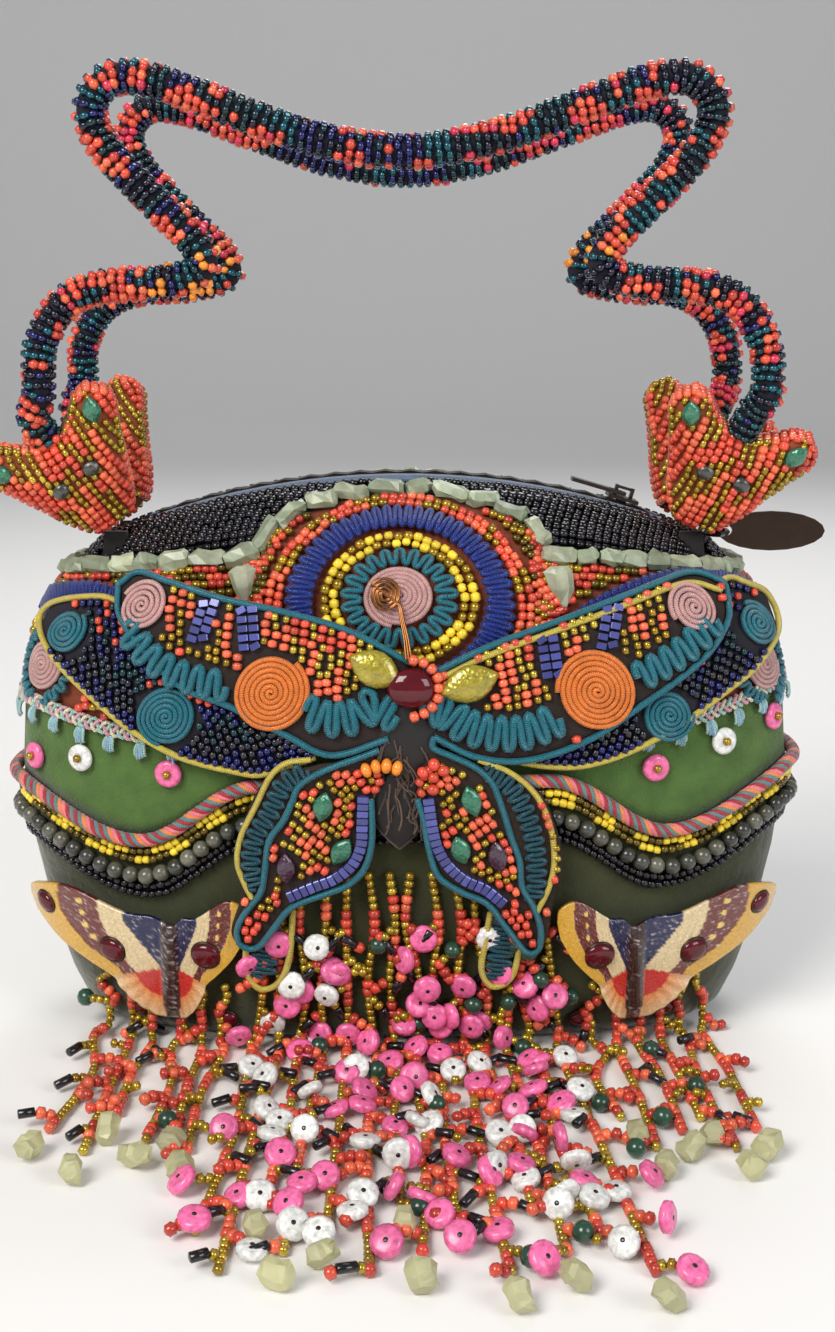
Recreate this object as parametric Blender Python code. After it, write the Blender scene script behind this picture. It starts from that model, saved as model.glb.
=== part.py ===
"""A stiff, domed evening handbag covered in beadwork, with two rope handles and a bead fringe.

The front faces -Y and the bag stands on its base at z = 0. Lengths in the constants are millimetres,
and every mesh is scaled to metres when its object is made. Ornament is placed on the body's smooth
surface, either by its place seen from the front (x, z) or by distances along the surface from a
centre, and lies a stated height above it.
"""
import math

import bmesh
import bpy
import numpy as np
from mathutils import Matrix, Vector

MM = 0.001
SEAT_GAP = 0.3

# Body: the girth is a superellipse whose half axes change with height
BODY_HALF_WIDTH = 115.5

# All places along X are laid out for a body of this half width, and spread with the body
LAYOUT_HALF_WIDTH = 115.5
SPREAD = BODY_HALF_WIDTH / LAYOUT_HALF_WIDTH

# The rest of the body
BODY_HALF_DEPTH = 44.0
GIRTH_POWER = 2.5
CREST_HEIGHT = 165.0
CREST_RADIUS = 228.0
MOUTH_HALF_LENGTH = 85.0 * SPREAD
MOUTH_HALF_WIDTH = 9.0
BASE_HALF_WIDTH = 92.0 * SPREAD
BASE_HALF_DEPTH = 32.0
GIRTH_SEGMENTS = 28

# Walls, outside in
SKIN_WALL = 0.9
WADDING = 1.0
BASE_TUCK = 0.4
SHELL_WALL = 2.5
LINING_WALL = 0.7
BASE_COVER = 1.6
BASE_BEVEL = 2.0
STATION_STEP = 14.0

# Where the ground meets the crown, under the chip border
RIM_HEIGHT = 145.5
RIM_FALL = 0.35

# Beads that cover the ground and the crown, clear of the trims along their edges
BEADS_PROUD = 1.4
BEADS_STEP = 0.5
BRAID_MARGIN = 2.8
CHIP_MARGIN = 3.2
CHIP_CLEAR = 5.6
MOUTH_MARGIN = 3.4
BEAD_SEGMENTS = 56
ARCH_SHARES = (0.7, 0.86, 0.95, 1.0, 1.06)
TAB_CLEAR_X = 66.0 * SPREAD
TAB_CLEAR_Y = 19.0
TAPE_MARGIN = 0.8

# Girth trims, as distances below the scallop line
SCALLOP_PEAK = 83.0
SCALLOP_LOW = 66.0
SCALLOP_SIDE = 80.0
SCALLOP_PEAK_AT = 40.0
SCALLOP_LOW_AT = 77.0
SCALLOP_SIDE_AT = 122.0
SCALLOP_LEAN = 0.02
ROPE_TRIM_RADIUS = 2.1
BEAD_ROW_HEIGHT = 2.2
YELLOW_ROWS_WIDTH = 5.4
GREY_BEAD_RADIUS = 2.45
BLACK_ROWS_WIDTH = 4.6
TRIM_SEGMENTS = 48

# Gimp braid, with tufts hanging from it
BRAID_HEIGHT = 100.0
BRAID_DIP = 4.0
BRAID_DIP_AT = 66.0
BRAID_SIDE = 104.0
BRAID_WIDTH = 4.4
BRAID_THICK = 1.8
TUFT_DROP = 3.6

# Studs: bead discs sewn to the suede
STUD_RADIUS = 3.9
STUD_THICK = 2.2
STUD_PLACES = {
    "stud_pink_left_end": (-107.0, 85.0),
    "stud_white_left": (-92.0, 87.0),
    "stud_pink_left": (-66.0, 84.5),
    "stud_pink_right": (71.0, 86.0),
    "stud_white_right": (91.0, 92.0),
    "stud_pink_right_end": (107.0, 96.5),
}

# Stone-chip border: round the rim, rising over the rosette
CHIP_WIDTH = 4.6
CHIP_THICK = 3.0
CHIP_COUNT = 46
ARCH_HALF_WIDTH = 43.0
ARCH_TOP = 161.0

# Front rosette, ring by ring
ROSETTE_X = -1.0
ROSETTE_Z = 134.0
ROSETTE_SQUASH = 0.86
COIL_RADIUS = 9.4
TEAL_RING = (9.8, 16.2)
BEAD_RING = (16.6, 22.4)
BLUE_RING = (22.8, 32.4)
CORAL_RING = (32.8, 37.0)
RUFFLE_HEIGHT = 1.6
RUFFLE_FOLD = 1.0

# Corner rosettes, shown as arches above the braid
CORNER_X = 102.5
CORNER_Z = 112.0
CORNER_HEIGHT = 1.1
CORNER_FOLD = 0.5
CORNER_BLUE_RING = (19.0, 27.0)

# Butterfly layers, as heights above the skin
REAR_WING = (4.0, 5.6)
FRONT_WING = (6.1, 8.0)
HIND_WING = (6.1, 8.0)
WING_RIM = 0.5
COIL_THICK = 1.2
COIL_SINK = 0.7
CABOCHON_RADIUS = 6.0
CABOCHON_Z = 110.5
ANTENNA_RADIUS = 0.45
PIN_PLATE = (4.2, 5.6)
PIN_LEFT_X = -65.5
PIN_RIGHT_X = 65.0
PIN_INNER_SHARE = 0.52
PIN_BODY_RISE = 1.6

# Rope handles and their heads
ROPE_RADIUS = 5.0
ROPE_Y = 30.0
ROPE_SEAT = 0.8
HINGE_Y = 12.5
HINGE_Z = 150.0
SNOUT_X = 83.5 * SPREAD
HEAD_LENGTH = 31.0
HEAD_HALF_SPAN = 21.0
HEAD_THICK = 7.2
HEAD_LEAN = 22.0
HEAD_TILT_LEFT = 33.0
HEAD_TILT_RIGHT = 23.0
TAB_HALF_WIDTH = 4.0
TAB_HALF_DEPTH = 1.9
TAB_TAPER = 0.8
TAB_DEPTH_TAPER = 0.5
SNOUT = 0.2
SNOUT_THICK = 0.62
SNOUT_FLAT = 0.3
NOTCH = 0.94

# Zip along the crest
TEETH_INNER = 0.6
TEETH_OUTER = 2.9
TEETH_HALF_LENGTH = 72.0 * SPREAD
TEETH_COUNT = 40
TEETH_BOTTOM = -0.9
TEETH_TOP = 1.5
TAPE_INNER = 3.2
TAPE_OUTER = 11.6
TAPE_THICK = 0.6
TAPE_HALF_LENGTH = 76.0 * SPREAD
SLIDER_X = 64.0 * SPREAD
SLIDER_HALF_LENGTH = 4.6
SLIDER_PLATE = 1.0
SLIDER_POST = 0.3
PULL_LENGTH = 16.0
PULL_HALF_WIDTH = 2.8
PULL_THICK = 1.1
PULL_SLOT = 4.6
PULL_SLOT_HALF_WIDTH = 1.6

# Oval tag on a bead loop
TAG_HALF_LENGTH = 15.8
TAG_HALF_HEIGHT = 5.8
TAG_THICK = 1.2
TAG_HOLE_RADIUS = 1.4
TAG_HOLE = (95.2 * SPREAD, -6.0, 149.0)
LOOP_RADIUS = 0.8

# Fringe
STRAND_HALF_WIDTH = 1.1
DISC_RADIUS = 3.5
DISC_THICK = 3.0
FLOOR_CLEARANCE = 0.2
STRAND_TURN = 8.0


def clean_scene():
    """Remove what the scene holds, so that only this model is in it."""
    for item in list(bpy.data.objects):
        bpy.data.objects.remove(item, do_unlink=True)


def finish(name, colour, roughness, metallic=0.0):
    """Return a Principled material."""
    material = bpy.data.materials.new(name)
    material.use_nodes = True
    shader = material.node_tree.nodes["Principled BSDF"]
    shader.inputs["Base Color"].default_value = (*colour, 1.0)
    shader.inputs["Roughness"].default_value = roughness
    shader.inputs["Metallic"].default_value = metallic
    return material


# The body's smooth surface

# Height, half width and half depth as shares of the body's, and how far the crest's fall applies
STATIONS = np.array([
    (0.000, BASE_HALF_WIDTH / BODY_HALF_WIDTH, BASE_HALF_DEPTH / BODY_HALF_DEPTH, 0.00),
    (0.030, 0.857, 0.830, 0.00),
    (0.091, 0.896, 0.886, 0.00),
    (0.182, 0.935, 0.932, 0.00),
    (0.333, 0.978, 0.977, 0.00),
    (0.485, 1.000, 1.000, 0.00),
    (0.606, 0.987, 0.989, 0.00),
    (0.727, 0.944, 0.932, 0.00),
    (0.836, 0.883, 0.818, 0.20),
    (0.921, 0.823, 0.614, 0.60),
    (0.976, 0.771, 0.386, 0.85),
    (0.9965, MOUTH_HALF_LENGTH / BODY_HALF_WIDTH, MOUTH_HALF_WIDTH / BODY_HALF_DEPTH, 1.00),
])
STATIONS *= (CREST_HEIGHT, BODY_HALF_WIDTH, BODY_HALF_DEPTH, 1.0)
TOP = len(STATIONS) - 1


def station(level):
    """Height, half width, half depth and crest weight at a level from 0, the base, to TOP."""
    index = np.arange(TOP + 1)
    return [np.interp(level, index, STATIONS[:, column]) for column in range(4)]


def crest_fall(x):
    """How far the crest's arc lies below its top at x."""
    return CREST_RADIUS - np.sqrt(np.maximum(CREST_RADIUS ** 2 - np.square(x), 0.0))


def signed_power(value, power):
    """A power that keeps the sign of its base."""
    return np.sign(value) * np.abs(value) ** power


def body_point(angle, level):
    """The point of the body's surface at an angle round the girth and a level."""
    height, half_width, half_depth, weight = station(level)
    x = half_width * signed_power(np.cos(angle), 2 / GIRTH_POWER)
    y = half_depth * signed_power(np.sin(angle), 2 / GIRTH_POWER)
    return np.stack(np.broadcast_arrays(x, y, height - weight * crest_fall(x)), axis=-1)


def body_normal(angle, level):
    """The outward direction there, smoothed over half a station."""
    turn, step = 0.05, 0.5
    along = body_point(angle + turn, level) - body_point(angle - turn, level)
    above = np.minimum(level + step, TOP)
    below = np.maximum(level - step, 0.0)
    rise = body_point(angle, above) - body_point(angle, below)
    normal = np.cross(along, rise)
    return normal / np.linalg.norm(normal, axis=-1, keepdims=True)


def over_body(angle, level, height):
    """A point a height above the surface, or inside it where the height is negative."""
    return body_point(angle, level) + np.asarray(height)[..., None] * body_normal(angle, level)


def level_at(angle, z):
    """The level at which the surface at an angle has the height z."""
    low = np.zeros(np.broadcast(angle, z).shape)
    high = np.full(low.shape, float(TOP))
    for _ in range(30):
        middle = (low + high) / 2
        below = body_point(angle, middle)[..., 2] < z
        low = np.where(below, middle, low)
        high = np.where(below, high, middle)
    return (low + high) / 2


def place_front(x, z):
    """Angle and level of the front surface's point seen at (x, z) of the layout."""
    x, z = np.broadcast_arrays(np.asarray(x, float) * SPREAD, np.asarray(z, float))
    low, high = np.zeros(x.shape), np.full(x.shape, float(TOP))
    for _ in range(30):
        middle = (low + high) / 2
        height, _, _, weight = station(middle)
        below = height - weight * crest_fall(x) < z
        low = np.where(below, middle, low)
        high = np.where(below, high, middle)
    level = (low + high) / 2
    half_width = station(level)[1]
    cosine = signed_power(np.clip(x / half_width, -1.0, 1.0), GIRTH_POWER / 2)
    return -np.arccos(cosine), level


def front_point(x, z, height):
    """A point a height above the front surface, seen at (x, z) of the layout."""
    angle, level = place_front(x, z)
    return over_body(angle, level, np.broadcast_to(height, np.shape(level)))


def patch_point(x, z, along, up, height):
    """A point found by walking along the girth and then up the surface from its point (x, z)."""
    angle0, level0 = (float(value) for value in place_front(x, z))
    angles = angle0 + np.linspace(-1.6, 1.6, 401)
    girth = body_point(angles, np.full(401, level0))
    walked = np.concatenate(([0.0], np.cumsum(np.linalg.norm(np.diff(girth, axis=0), axis=1))))
    angle = np.interp(walked[200] + along, walked, angles)
    levels = np.linspace(0, TOP, 221)
    points = []
    for one_angle, one_up in zip(np.ravel(angle), np.ravel(np.broadcast_to(up, np.shape(angle)))):
        meridian = body_point(np.full(221, one_angle), levels)
        climbed = np.concatenate(([0.0], np.cumsum(np.linalg.norm(np.diff(meridian, axis=0), axis=1))))
        start = np.interp(level0, levels, climbed)
        points.append(np.interp(start + one_up, climbed, levels))
    level = np.array(points).reshape(np.shape(angle))
    return over_body(angle, level, np.broadcast_to(height, np.shape(level)))


# Makers of closed solids

def face_out(work):
    """Turn a closed mesh's faces outwards."""
    bmesh.ops.recalc_face_normals(work, faces=work.faces)
    if work.calc_volume(signed=True) < 0:
        bmesh.ops.reverse_faces(work, faces=work.faces)


def add_piece(name, vertices, faces, material, origin=(0.0, 0.0, 0.0), smooth=30.0):
    """Make one closed object from vertices in millimetres, with its origin where given."""
    shifted = (np.asarray(vertices, float) - np.asarray(origin, float)) * MM
    mesh = bpy.data.meshes.new(name)
    mesh.from_pydata([tuple(point) for point in shifted], [], faces)
    work = bmesh.new()
    work.from_mesh(mesh)
    face_out(work)
    work.to_mesh(mesh)
    work.free()
    mesh.shade_smooth()
    mesh.set_sharp_from_angle(angle=math.radians(smooth))
    mesh.materials.append(material)
    piece = bpy.data.objects.new(name, mesh)
    piece.location = Vector(origin) * MM
    bpy.context.collection.objects.link(piece)
    return piece


def ring_faces(rings, sides, start=0, closed=False):
    """Quads between successive rings of vertices, each with the same number of sides."""
    faces = []
    for ring in range(rings if closed else rings - 1):
        here = start + ring * sides
        there = start + ((ring + 1) % rings) * sides
        for side in range(sides):
            after = (side + 1) % sides
            faces.append((here + side, here + after, there + after, there + side))
    return faces


def tube(sections, closed=False):
    """Vertices and faces of a tube through its sections, an array (rings, sides, 3)."""
    rings, sides, _ = sections.shape
    faces = ring_faces(rings, sides, closed=closed)
    if not closed:
        faces.append(tuple(range(sides)))
        faces.append(tuple(range((rings - 1) * sides, rings * sides)))
    return sections.reshape(-1, 3), faces


def slab(outer, inner, wraps):
    """Vertices and faces of a plate between two grids (columns, rows, 3), ring-shaped if it wraps."""
    columns, rows, _ = outer.shape
    count = columns * rows
    vertices = np.concatenate((outer.reshape(-1, 3), inner.reshape(-1, 3)))
    faces = []
    spans = columns if wraps else columns - 1
    for column in range(spans):
        here, there = column * rows, ((column + 1) % columns) * rows
        for row in range(rows - 1):
            quad = (here + row, there + row, there + row + 1, here + row + 1)
            faces.append(quad)
            faces.append(tuple(count + index for index in reversed(quad)))
        for edge in (0, rows - 1):
            faces.append((here + edge, there + edge, count + there + edge, count + here + edge))
    if not wraps:
        for edge in (0, (columns - 1) * rows):
            for row in range(rows - 1):
                low, high = edge + row, edge + row + 1
                faces.append((low, high, count + high, count + low))
    return vertices, faces


def path_frames(points, side):
    """Tangents and the two directions across a path, one of them near the given side."""
    tangent = np.gradient(points, axis=0)
    tangent /= np.linalg.norm(tangent, axis=1, keepdims=True)
    normal = np.cross(np.broadcast_to(side, tangent.shape), tangent)
    normal /= np.linalg.norm(normal, axis=1, keepdims=True)
    return tangent, np.cross(tangent, normal), normal


def round_sections(points, radii, sides, side):
    """Round rings across a path."""
    _, across, normal = path_frames(points, side)
    turn = np.linspace(0, 2 * math.pi, sides, endpoint=False)
    offset = across[:, None] * np.cos(turn)[None, :, None] + normal[:, None] * np.sin(turn)[None, :, None]
    return points[:, None] + offset * np.asarray(radii, float)[:, None, None]


def smooth_path(points, count):
    """Points spaced evenly on a Catmull-Rom curve through the given ones."""
    points = np.asarray(points, float)
    padded = np.concatenate((points[:1] * 2 - points[1:2], points, points[-1:] * 2 - points[-2:-1]))
    share = np.linspace(0, 1, 12, endpoint=False)[:, None]
    pieces = []
    for a, b, c, d in zip(padded, padded[1:], padded[2:], padded[3:]):
        bend = (2 * a - 5 * b + 4 * c - d) * share ** 2 + (3 * b - a - 3 * c + d) * share ** 3
        pieces.append((2 * b + (c - a) * share + bend) / 2)
    dense = np.concatenate(pieces + [points[-1:]])
    walked = np.concatenate(([0.0], np.cumsum(np.linalg.norm(np.diff(dense, axis=0), axis=1))))
    even = np.linspace(0, walked[-1], count)
    return np.stack([np.interp(even, walked, dense[:, axis]) for axis in range(3)], axis=1)


def box_sections(x_range, y_range, z_range):
    """Two end sections of a box, for tube()."""
    corners = [(y_range[0], z_range[0]), (y_range[1], z_range[0]),
               (y_range[1], z_range[1]), (y_range[0], z_range[1])]
    return np.array([[(x, y, z) for y, z in corners] for x in x_range])


# Carcass and skins

GIRTH_ANGLES = np.linspace(0, 2 * math.pi, GIRTH_SEGMENTS, endpoint=False)
SHELL_DEPTH = SKIN_WALL + WADDING
LINING_DEPTH = SHELL_DEPTH + SHELL_WALL + SEAT_GAP


def blend(x, places, values):
    """Cosine steps between values at places, level beyond the last."""
    x = np.abs(np.asarray(x, float))
    result = np.full(x.shape, float(values[-1]))
    for start, end, first, last in zip(places, places[1:], values, values[1:]):
        share = np.clip((x - start) / (end - start), 0, 1)
        wave = first + (last - first) * (1 - np.cos(math.pi * share)) / 2
        result = np.where((x >= start) & (x < end), wave, result)
    return result


def girth_distance(angle):
    """Layout distance round the girth from the middle of the front or back, on each side of it."""
    turns = np.linspace(0, math.pi / 2, 91)
    rim = body_point(turns, np.full(91, 5.0))
    walked = np.concatenate(([0.0], np.cumsum(np.linalg.norm(np.diff(rim, axis=0), axis=1))))
    folded = np.arcsin(np.clip(np.abs(np.sin(angle)), 0, 1))
    return (walked[-1] - np.interp(folded, turns, walked)) * np.sign(np.cos(angle) + 1e-12) / SPREAD


def lean(angle):
    """How far the hand-sewn lines stand higher to the right."""
    return SCALLOP_LEAN * body_point(angle, np.full(np.shape(angle), 5.0))[..., 0]


def scallop_line(angle):
    """Height of the rope trim's middle round the girth."""
    distance = girth_distance(angle)
    places = (0.0, SCALLOP_PEAK_AT, SCALLOP_LOW_AT, SCALLOP_SIDE_AT)
    heights = (SCALLOP_PEAK, SCALLOP_PEAK, SCALLOP_LOW, SCALLOP_SIDE)
    return blend(distance, places, heights) + lean(angle)


def braid_line(angle):
    """Height of the gimp braid's middle round the girth."""
    distance = girth_distance(angle)
    places = (0.0, BRAID_DIP_AT, SCALLOP_SIDE_AT)
    heights = (BRAID_HEIGHT, BRAID_HEIGHT - BRAID_DIP, BRAID_SIDE)
    return blend(distance, places, heights) + lean(angle)


def chip_line(angle):
    """Height of the chip border's middle: round the shoulders, rising over the middle."""
    x = body_point(angle, np.full(np.shape(angle), 8.0))[..., 0]
    shoulder = RIM_HEIGHT - RIM_FALL * crest_fall(x)
    lift = np.sqrt(np.maximum(0.0, 1.0 - np.square(x / ARCH_HALF_WIDTH)))
    return shoulder + (ARCH_TOP - shoulder) * lift


def bead_angles():
    """The angles of the beaded skins, closer together at the feet of the chip border's arch."""
    shares = np.array(ARCH_SHARES) * ARCH_HALF_WIDTH / station(8)[1]
    feet = np.arccos(signed_power(np.concatenate((shares, -shares)), GIRTH_POWER / 2))
    even = np.linspace(0, 2 * math.pi, BEAD_SEGMENTS, endpoint=False)
    clear = [angle for angle in even
             if np.min(np.abs(np.concatenate((feet, 2 * math.pi - feet)) - angle)) > 0.02]
    return np.sort(np.concatenate((clear, feet, 2 * math.pi - feet)))


def rows_between(below, above, stations):
    """Levels from below to above, with one at each station that lies between them."""
    least = 0.02
    rows = [below]
    for order, level in enumerate(stations, start=1):
        rows.append(np.clip(level, below + least * order, above - least * (len(stations) + 1 - order)))
    return [*rows, above]


def skin(name, rows, heights, material, angles=GIRTH_ANGLES):
    """A band round the body through rows of levels, each row a height above the surface."""
    levels = np.stack(rows, axis=1)
    turned = np.broadcast_to(angles[:, None], levels.shape)
    outer = over_body(turned, levels, np.broadcast_to(heights, levels.shape))
    inner = over_body(turned, levels, np.full(levels.shape, -SKIN_WALL))
    return add_piece(name, *slab(outer, inner, wraps=True), material)


def short_climb(angles, level, distance):
    """The level a short distance up the surface from a level, or down it."""
    above, below = np.minimum(level + 0.2, TOP), np.maximum(level - 0.2, 0.0)
    rise = body_point(angles, above) - body_point(angles, below)
    return level + distance * (above - below) / np.linalg.norm(rise, axis=-1)


def bead_heights(angles, rows):
    """How far the beads stand proud at each place of a skin: not under the chips, tapes and tabs."""
    levels = np.stack(rows, axis=1)
    points = body_point(np.broadcast_to(angles[:, None], levels.shape), levels)
    turns = np.linspace(0, 2 * math.pi, 720, endpoint=False)
    chips = body_point(turns, level_at(turns, chip_line(turns)))
    away = np.min(np.linalg.norm(points[:, :, None] - chips, axis=-1), axis=-1)
    heights = np.where(away > CHIP_CLEAR, BEADS_PROUD, 0.0)
    x, y = np.abs(points[..., 0]), np.abs(points[..., 1])
    top = points[..., 2] > RIM_HEIGHT - 12.0
    heights = np.where(top & (x > TAB_CLEAR_X) & (y < TAB_CLEAR_Y), 0.0, heights)
    heights = np.where(y < TAPE_OUTER + TAPE_MARGIN, np.where(top, 0.0, heights), heights)
    heights[:, [0, 1, -2, -1]] = 0.0
    return heights


def beaded_skin(name, below, above, margins, stations, material, angles):
    """A skin whose beads stand proud from one margin to the other."""
    low = [short_climb(angles, below, margins[0] + step) for step in (0.0, BEADS_STEP)]
    high = [short_climb(angles, above, -margins[1] - step) for step in (BEADS_STEP, 0.0)]
    rows = [below, low[0], *rows_between(low[1], high[0], stations), high[1], above]
    return skin(name, rows, bead_heights(angles, rows), material, angles)


def build_base():
    """The oval base cover, flat on the table."""
    sections = []
    for inset, z in ((BASE_BEVEL, 0.0), (0.0, BASE_COVER)):
        x = (BASE_HALF_WIDTH - inset) * signed_power(np.cos(GIRTH_ANGLES), 2 / GIRTH_POWER)
        y = (BASE_HALF_DEPTH - inset) * signed_power(np.sin(GIRTH_ANGLES), 2 / GIRTH_POWER)
        sections.append(np.stack((x, y, np.full(x.shape, z)), axis=1))
    velvet = finish("base_velvet", (0.03, 0.04, 0.01), 0.9)
    return add_piece("base_cover", *tube(np.array(sections)), velvet)


def cup(name, depth, wall, levels, floor, material):
    """A shell closed at the bottom and open at the mouth, built up the outside and down the inside."""
    rings = []
    for inset, bottom, order in ((depth, floor, levels), (depth + wall, floor + wall, levels[::-1])):
        for level in order:
            lowest = level == levels[0]
            height = np.full(GIRTH_SEGMENTS, -inset - (BASE_TUCK if lowest else 0.0))
            ring = over_body(GIRTH_ANGLES, np.full(GIRTH_SEGMENTS, float(level)), height)
            if lowest:
                ring[:, 2] = bottom
            rings.append(ring)
    return add_piece(name, *tube(np.array(rings)), material)


def build_carcass():
    """Base, shell, lining and the four skins that cover the shell."""
    build_base()
    floor = BASE_COVER + SEAT_GAP
    floor_level = float(level_at(0.0, floor))
    cup("shell", SHELL_DEPTH, SHELL_WALL, (floor_level, 1, 2, 3, 5, 7, 8, 9, 10, TOP), floor,
        finish("shell_board", (0.25, 0.2, 0.15), 0.8))
    cup("lining", LINING_DEPTH, LINING_WALL, (floor_level, 2, 5, 8, TOP), floor + SHELL_WALL + SEAT_GAP,
        finish("lining_cloth", (0.1, 0.05, 0.12), 0.6))
    start = np.full(GIRTH_SEGMENTS, floor_level)
    velvet_top = level_at(GIRTH_ANGLES, scallop_line(GIRTH_ANGLES))
    suede_top = level_at(GIRTH_ANGLES, braid_line(GIRTH_ANGLES))
    seam = SEAT_GAP / STATION_STEP
    skin("velvet_band", rows_between(start, velvet_top, (1, 2, 3, 4, 5)), 0.0,
         finish("velvet", (0.035, 0.045, 0.01), 0.95))
    skin("suede_band", rows_between(velvet_top + seam, suede_top, (5, 6)), 0.0,
         finish("suede", (0.05, 0.12, 0.02), 0.95))
    angles = bead_angles()
    below = np.interp(angles, GIRTH_ANGLES, suede_top + seam, period=2 * math.pi)
    rim = level_at(angles, chip_line(angles))
    beaded_skin("beaded_ground", below, rim, (BRAID_MARGIN, CHIP_MARGIN), (7, 8, 9),
                finish("coral_beads", (0.75, 0.11, 0.04), 0.35), angles)
    beaded_skin("bead_crown", rim + seam, np.full(angles.shape, float(TOP)),
                (CHIP_MARGIN, MOUTH_MARGIN), (9, 10),
                finish("black_beads", (0.01, 0.008, 0.012), 0.15), angles)


# Trims round the girth

TRIM_ANGLES = np.linspace(0, 2 * math.pi, TRIM_SEGMENTS, endpoint=False)


def girth_trim(name, line, section, material, angles=TRIM_ANGLES, twist=0.0):
    """A trim that follows a line round the girth; its section is (rise, height) points."""
    section = np.array(section)
    middle = section.mean(axis=0)
    rings = []
    for index, (angle, z) in enumerate(zip(angles, line)):
        turn = twist * index
        spin = np.array(((math.cos(turn), math.sin(turn)), (-math.sin(turn), math.cos(turn))))
        rise, height = ((section - middle) @ spin + middle).T
        level = level_at(np.full(len(rise), angle), z + rise)
        rings.append(over_body(np.full(len(rise), angle), level, height))
    return add_piece(name, *tube(np.array(rings), closed=True), material)


def round_section(radius, below, sides=5):
    """A round bar's section, seated on the skin."""
    turn = np.linspace(0, 2 * math.pi, sides, endpoint=False) + math.pi / 2
    return [(radius * math.cos(t) - below, SEAT_GAP + radius * (1.12 + math.sin(t))) for t in turn]


def flat_section(top, width, height):
    """A flat strip's section, seated on the skin, its upper edge a distance below the line."""
    low = SEAT_GAP + 0.4
    return [(-top, low), (-top, low + height), (-top - width, low + height), (-top - width, low)]


def build_trims():
    """Rope trim, bead rows and gimp braid, all round the bag."""
    line = scallop_line(TRIM_ANGLES)
    yellow_at = ROPE_TRIM_RADIUS + SEAT_GAP
    grey_at = yellow_at + YELLOW_ROWS_WIDTH + SEAT_GAP + GREY_BEAD_RADIUS
    black_at = grey_at + GREY_BEAD_RADIUS + SEAT_GAP
    girth_trim("rope_trim", line, round_section(ROPE_TRIM_RADIUS, 0.0),
               finish("twisted_cord", (0.5, 0.05, 0.07), 0.6), twist=math.pi / 5)
    girth_trim("yellow_bead_rows", line, flat_section(yellow_at, YELLOW_ROWS_WIDTH, BEAD_ROW_HEIGHT),
               finish("yellow_beads", (0.6, 0.45, 0.04), 0.3))
    girth_trim("grey_bead_row", line, round_section(GREY_BEAD_RADIUS, grey_at, sides=6),
               finish("grey_stone_beads", (0.09, 0.09, 0.07), 0.25))
    girth_trim("black_bead_rows", line, flat_section(black_at, BLACK_ROWS_WIDTH, BEAD_ROW_HEIGHT),
               finish("black_bead_rows", (0.01, 0.01, 0.012), 0.15))
    braid_angles = np.linspace(0, 2 * math.pi, TRIM_SEGMENTS * 3 // 2, endpoint=False)
    section = flat_section(-BRAID_WIDTH / 2, BRAID_WIDTH, BRAID_THICK)
    braid = girth_trim("gimp_braid", braid_line(braid_angles), section,
                       finish("gimp_braid", (0.6, 0.55, 0.5), 0.7), angles=braid_angles)
    hang_tufts(braid)


def hang_tufts(braid):
    """Draw every third lower face of the braid down into a tuft."""
    work = bmesh.new()
    work.from_mesh(braid.data)
    work.faces.ensure_lookup_table()
    sides = 4
    lower = [face for face in work.faces if face.index % sides == 2]
    picked = [face for order, face in enumerate(lower) if order % 3 == 0]
    for face in bmesh.ops.extrude_discrete_faces(work, faces=picked)["faces"]:
        centre = face.calc_center_median()
        for vertex in face.verts:
            vertex.co.z -= TUFT_DROP * MM
            vertex.co += (centre - vertex.co) * 0.1
    face_out(work)
    work.to_mesh(braid.data)
    work.free()


def disc(name, x, z, profile, material, sides=16, squash=1.0, smooth=30.0):
    """A round piece on the front; its profile is (radius, height) from the seat to the top."""
    turn = np.linspace(0, 2 * math.pi, sides, endpoint=False)
    rings = []
    for radius, height in profile:
        rings.append(patch_point(x, z, radius * np.cos(turn), radius * squash * np.sin(turn), height))
    return add_piece(name, *tube(np.array(rings)), material, smooth=smooth)


def coil_profile(radius, turns, seat, thick):
    """A coiled cord's profile: flat below, a ridge for each turn above."""
    step = radius / turns
    profile = [(0.4, seat), (radius * 0.5, seat), (radius, seat)]
    for index in range(turns):
        edge = radius - index * step
        profile += [(edge - 0.1 * step, seat + thick * 0.6), (edge - 0.5 * step, seat + thick)]
    return profile + [(0.4, seat + thick * 0.6)]


def annulus(name, x, z, radii, height, material, steps, fold=0.0, squash=1.0, arc=(0.0, 2 * math.pi)):
    """A ring on the front through its radii, or an arc of one, its top folded from step to step."""
    closed = arc[1] - arc[0] > 6.28
    turn = np.linspace(*arc, steps, endpoint=not closed)
    sign = np.where(np.arange(steps) % 2 == 0, 1.0, -1.0)
    low = np.full(steps, BEADS_PROUD + 2 * SEAT_GAP + 0.3)
    high = low + height + fold * (sign - 1) / 2
    section = [(radii[0], low)] + [(radius, high) for radius in radii]
    section += [(radius, low) for radius in radii[:0:-1]]
    rings = [patch_point(x, z, radius * np.cos(turn), radius * squash * np.sin(turn), level)
             for radius, level in section]
    return add_piece(name, *tube(np.stack(rings, axis=1), closed=closed), material, smooth=20.0)


def mirror_to_back(piece, name):
    """The same piece on the back, turned by half a turn about the vertical."""
    copy = piece.copy()
    copy.data = piece.data.copy()
    copy.name = name
    copy.data.transform(Matrix.Rotation(math.pi, 4, "Z"))
    bpy.context.collection.objects.link(copy)
    return copy


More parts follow.
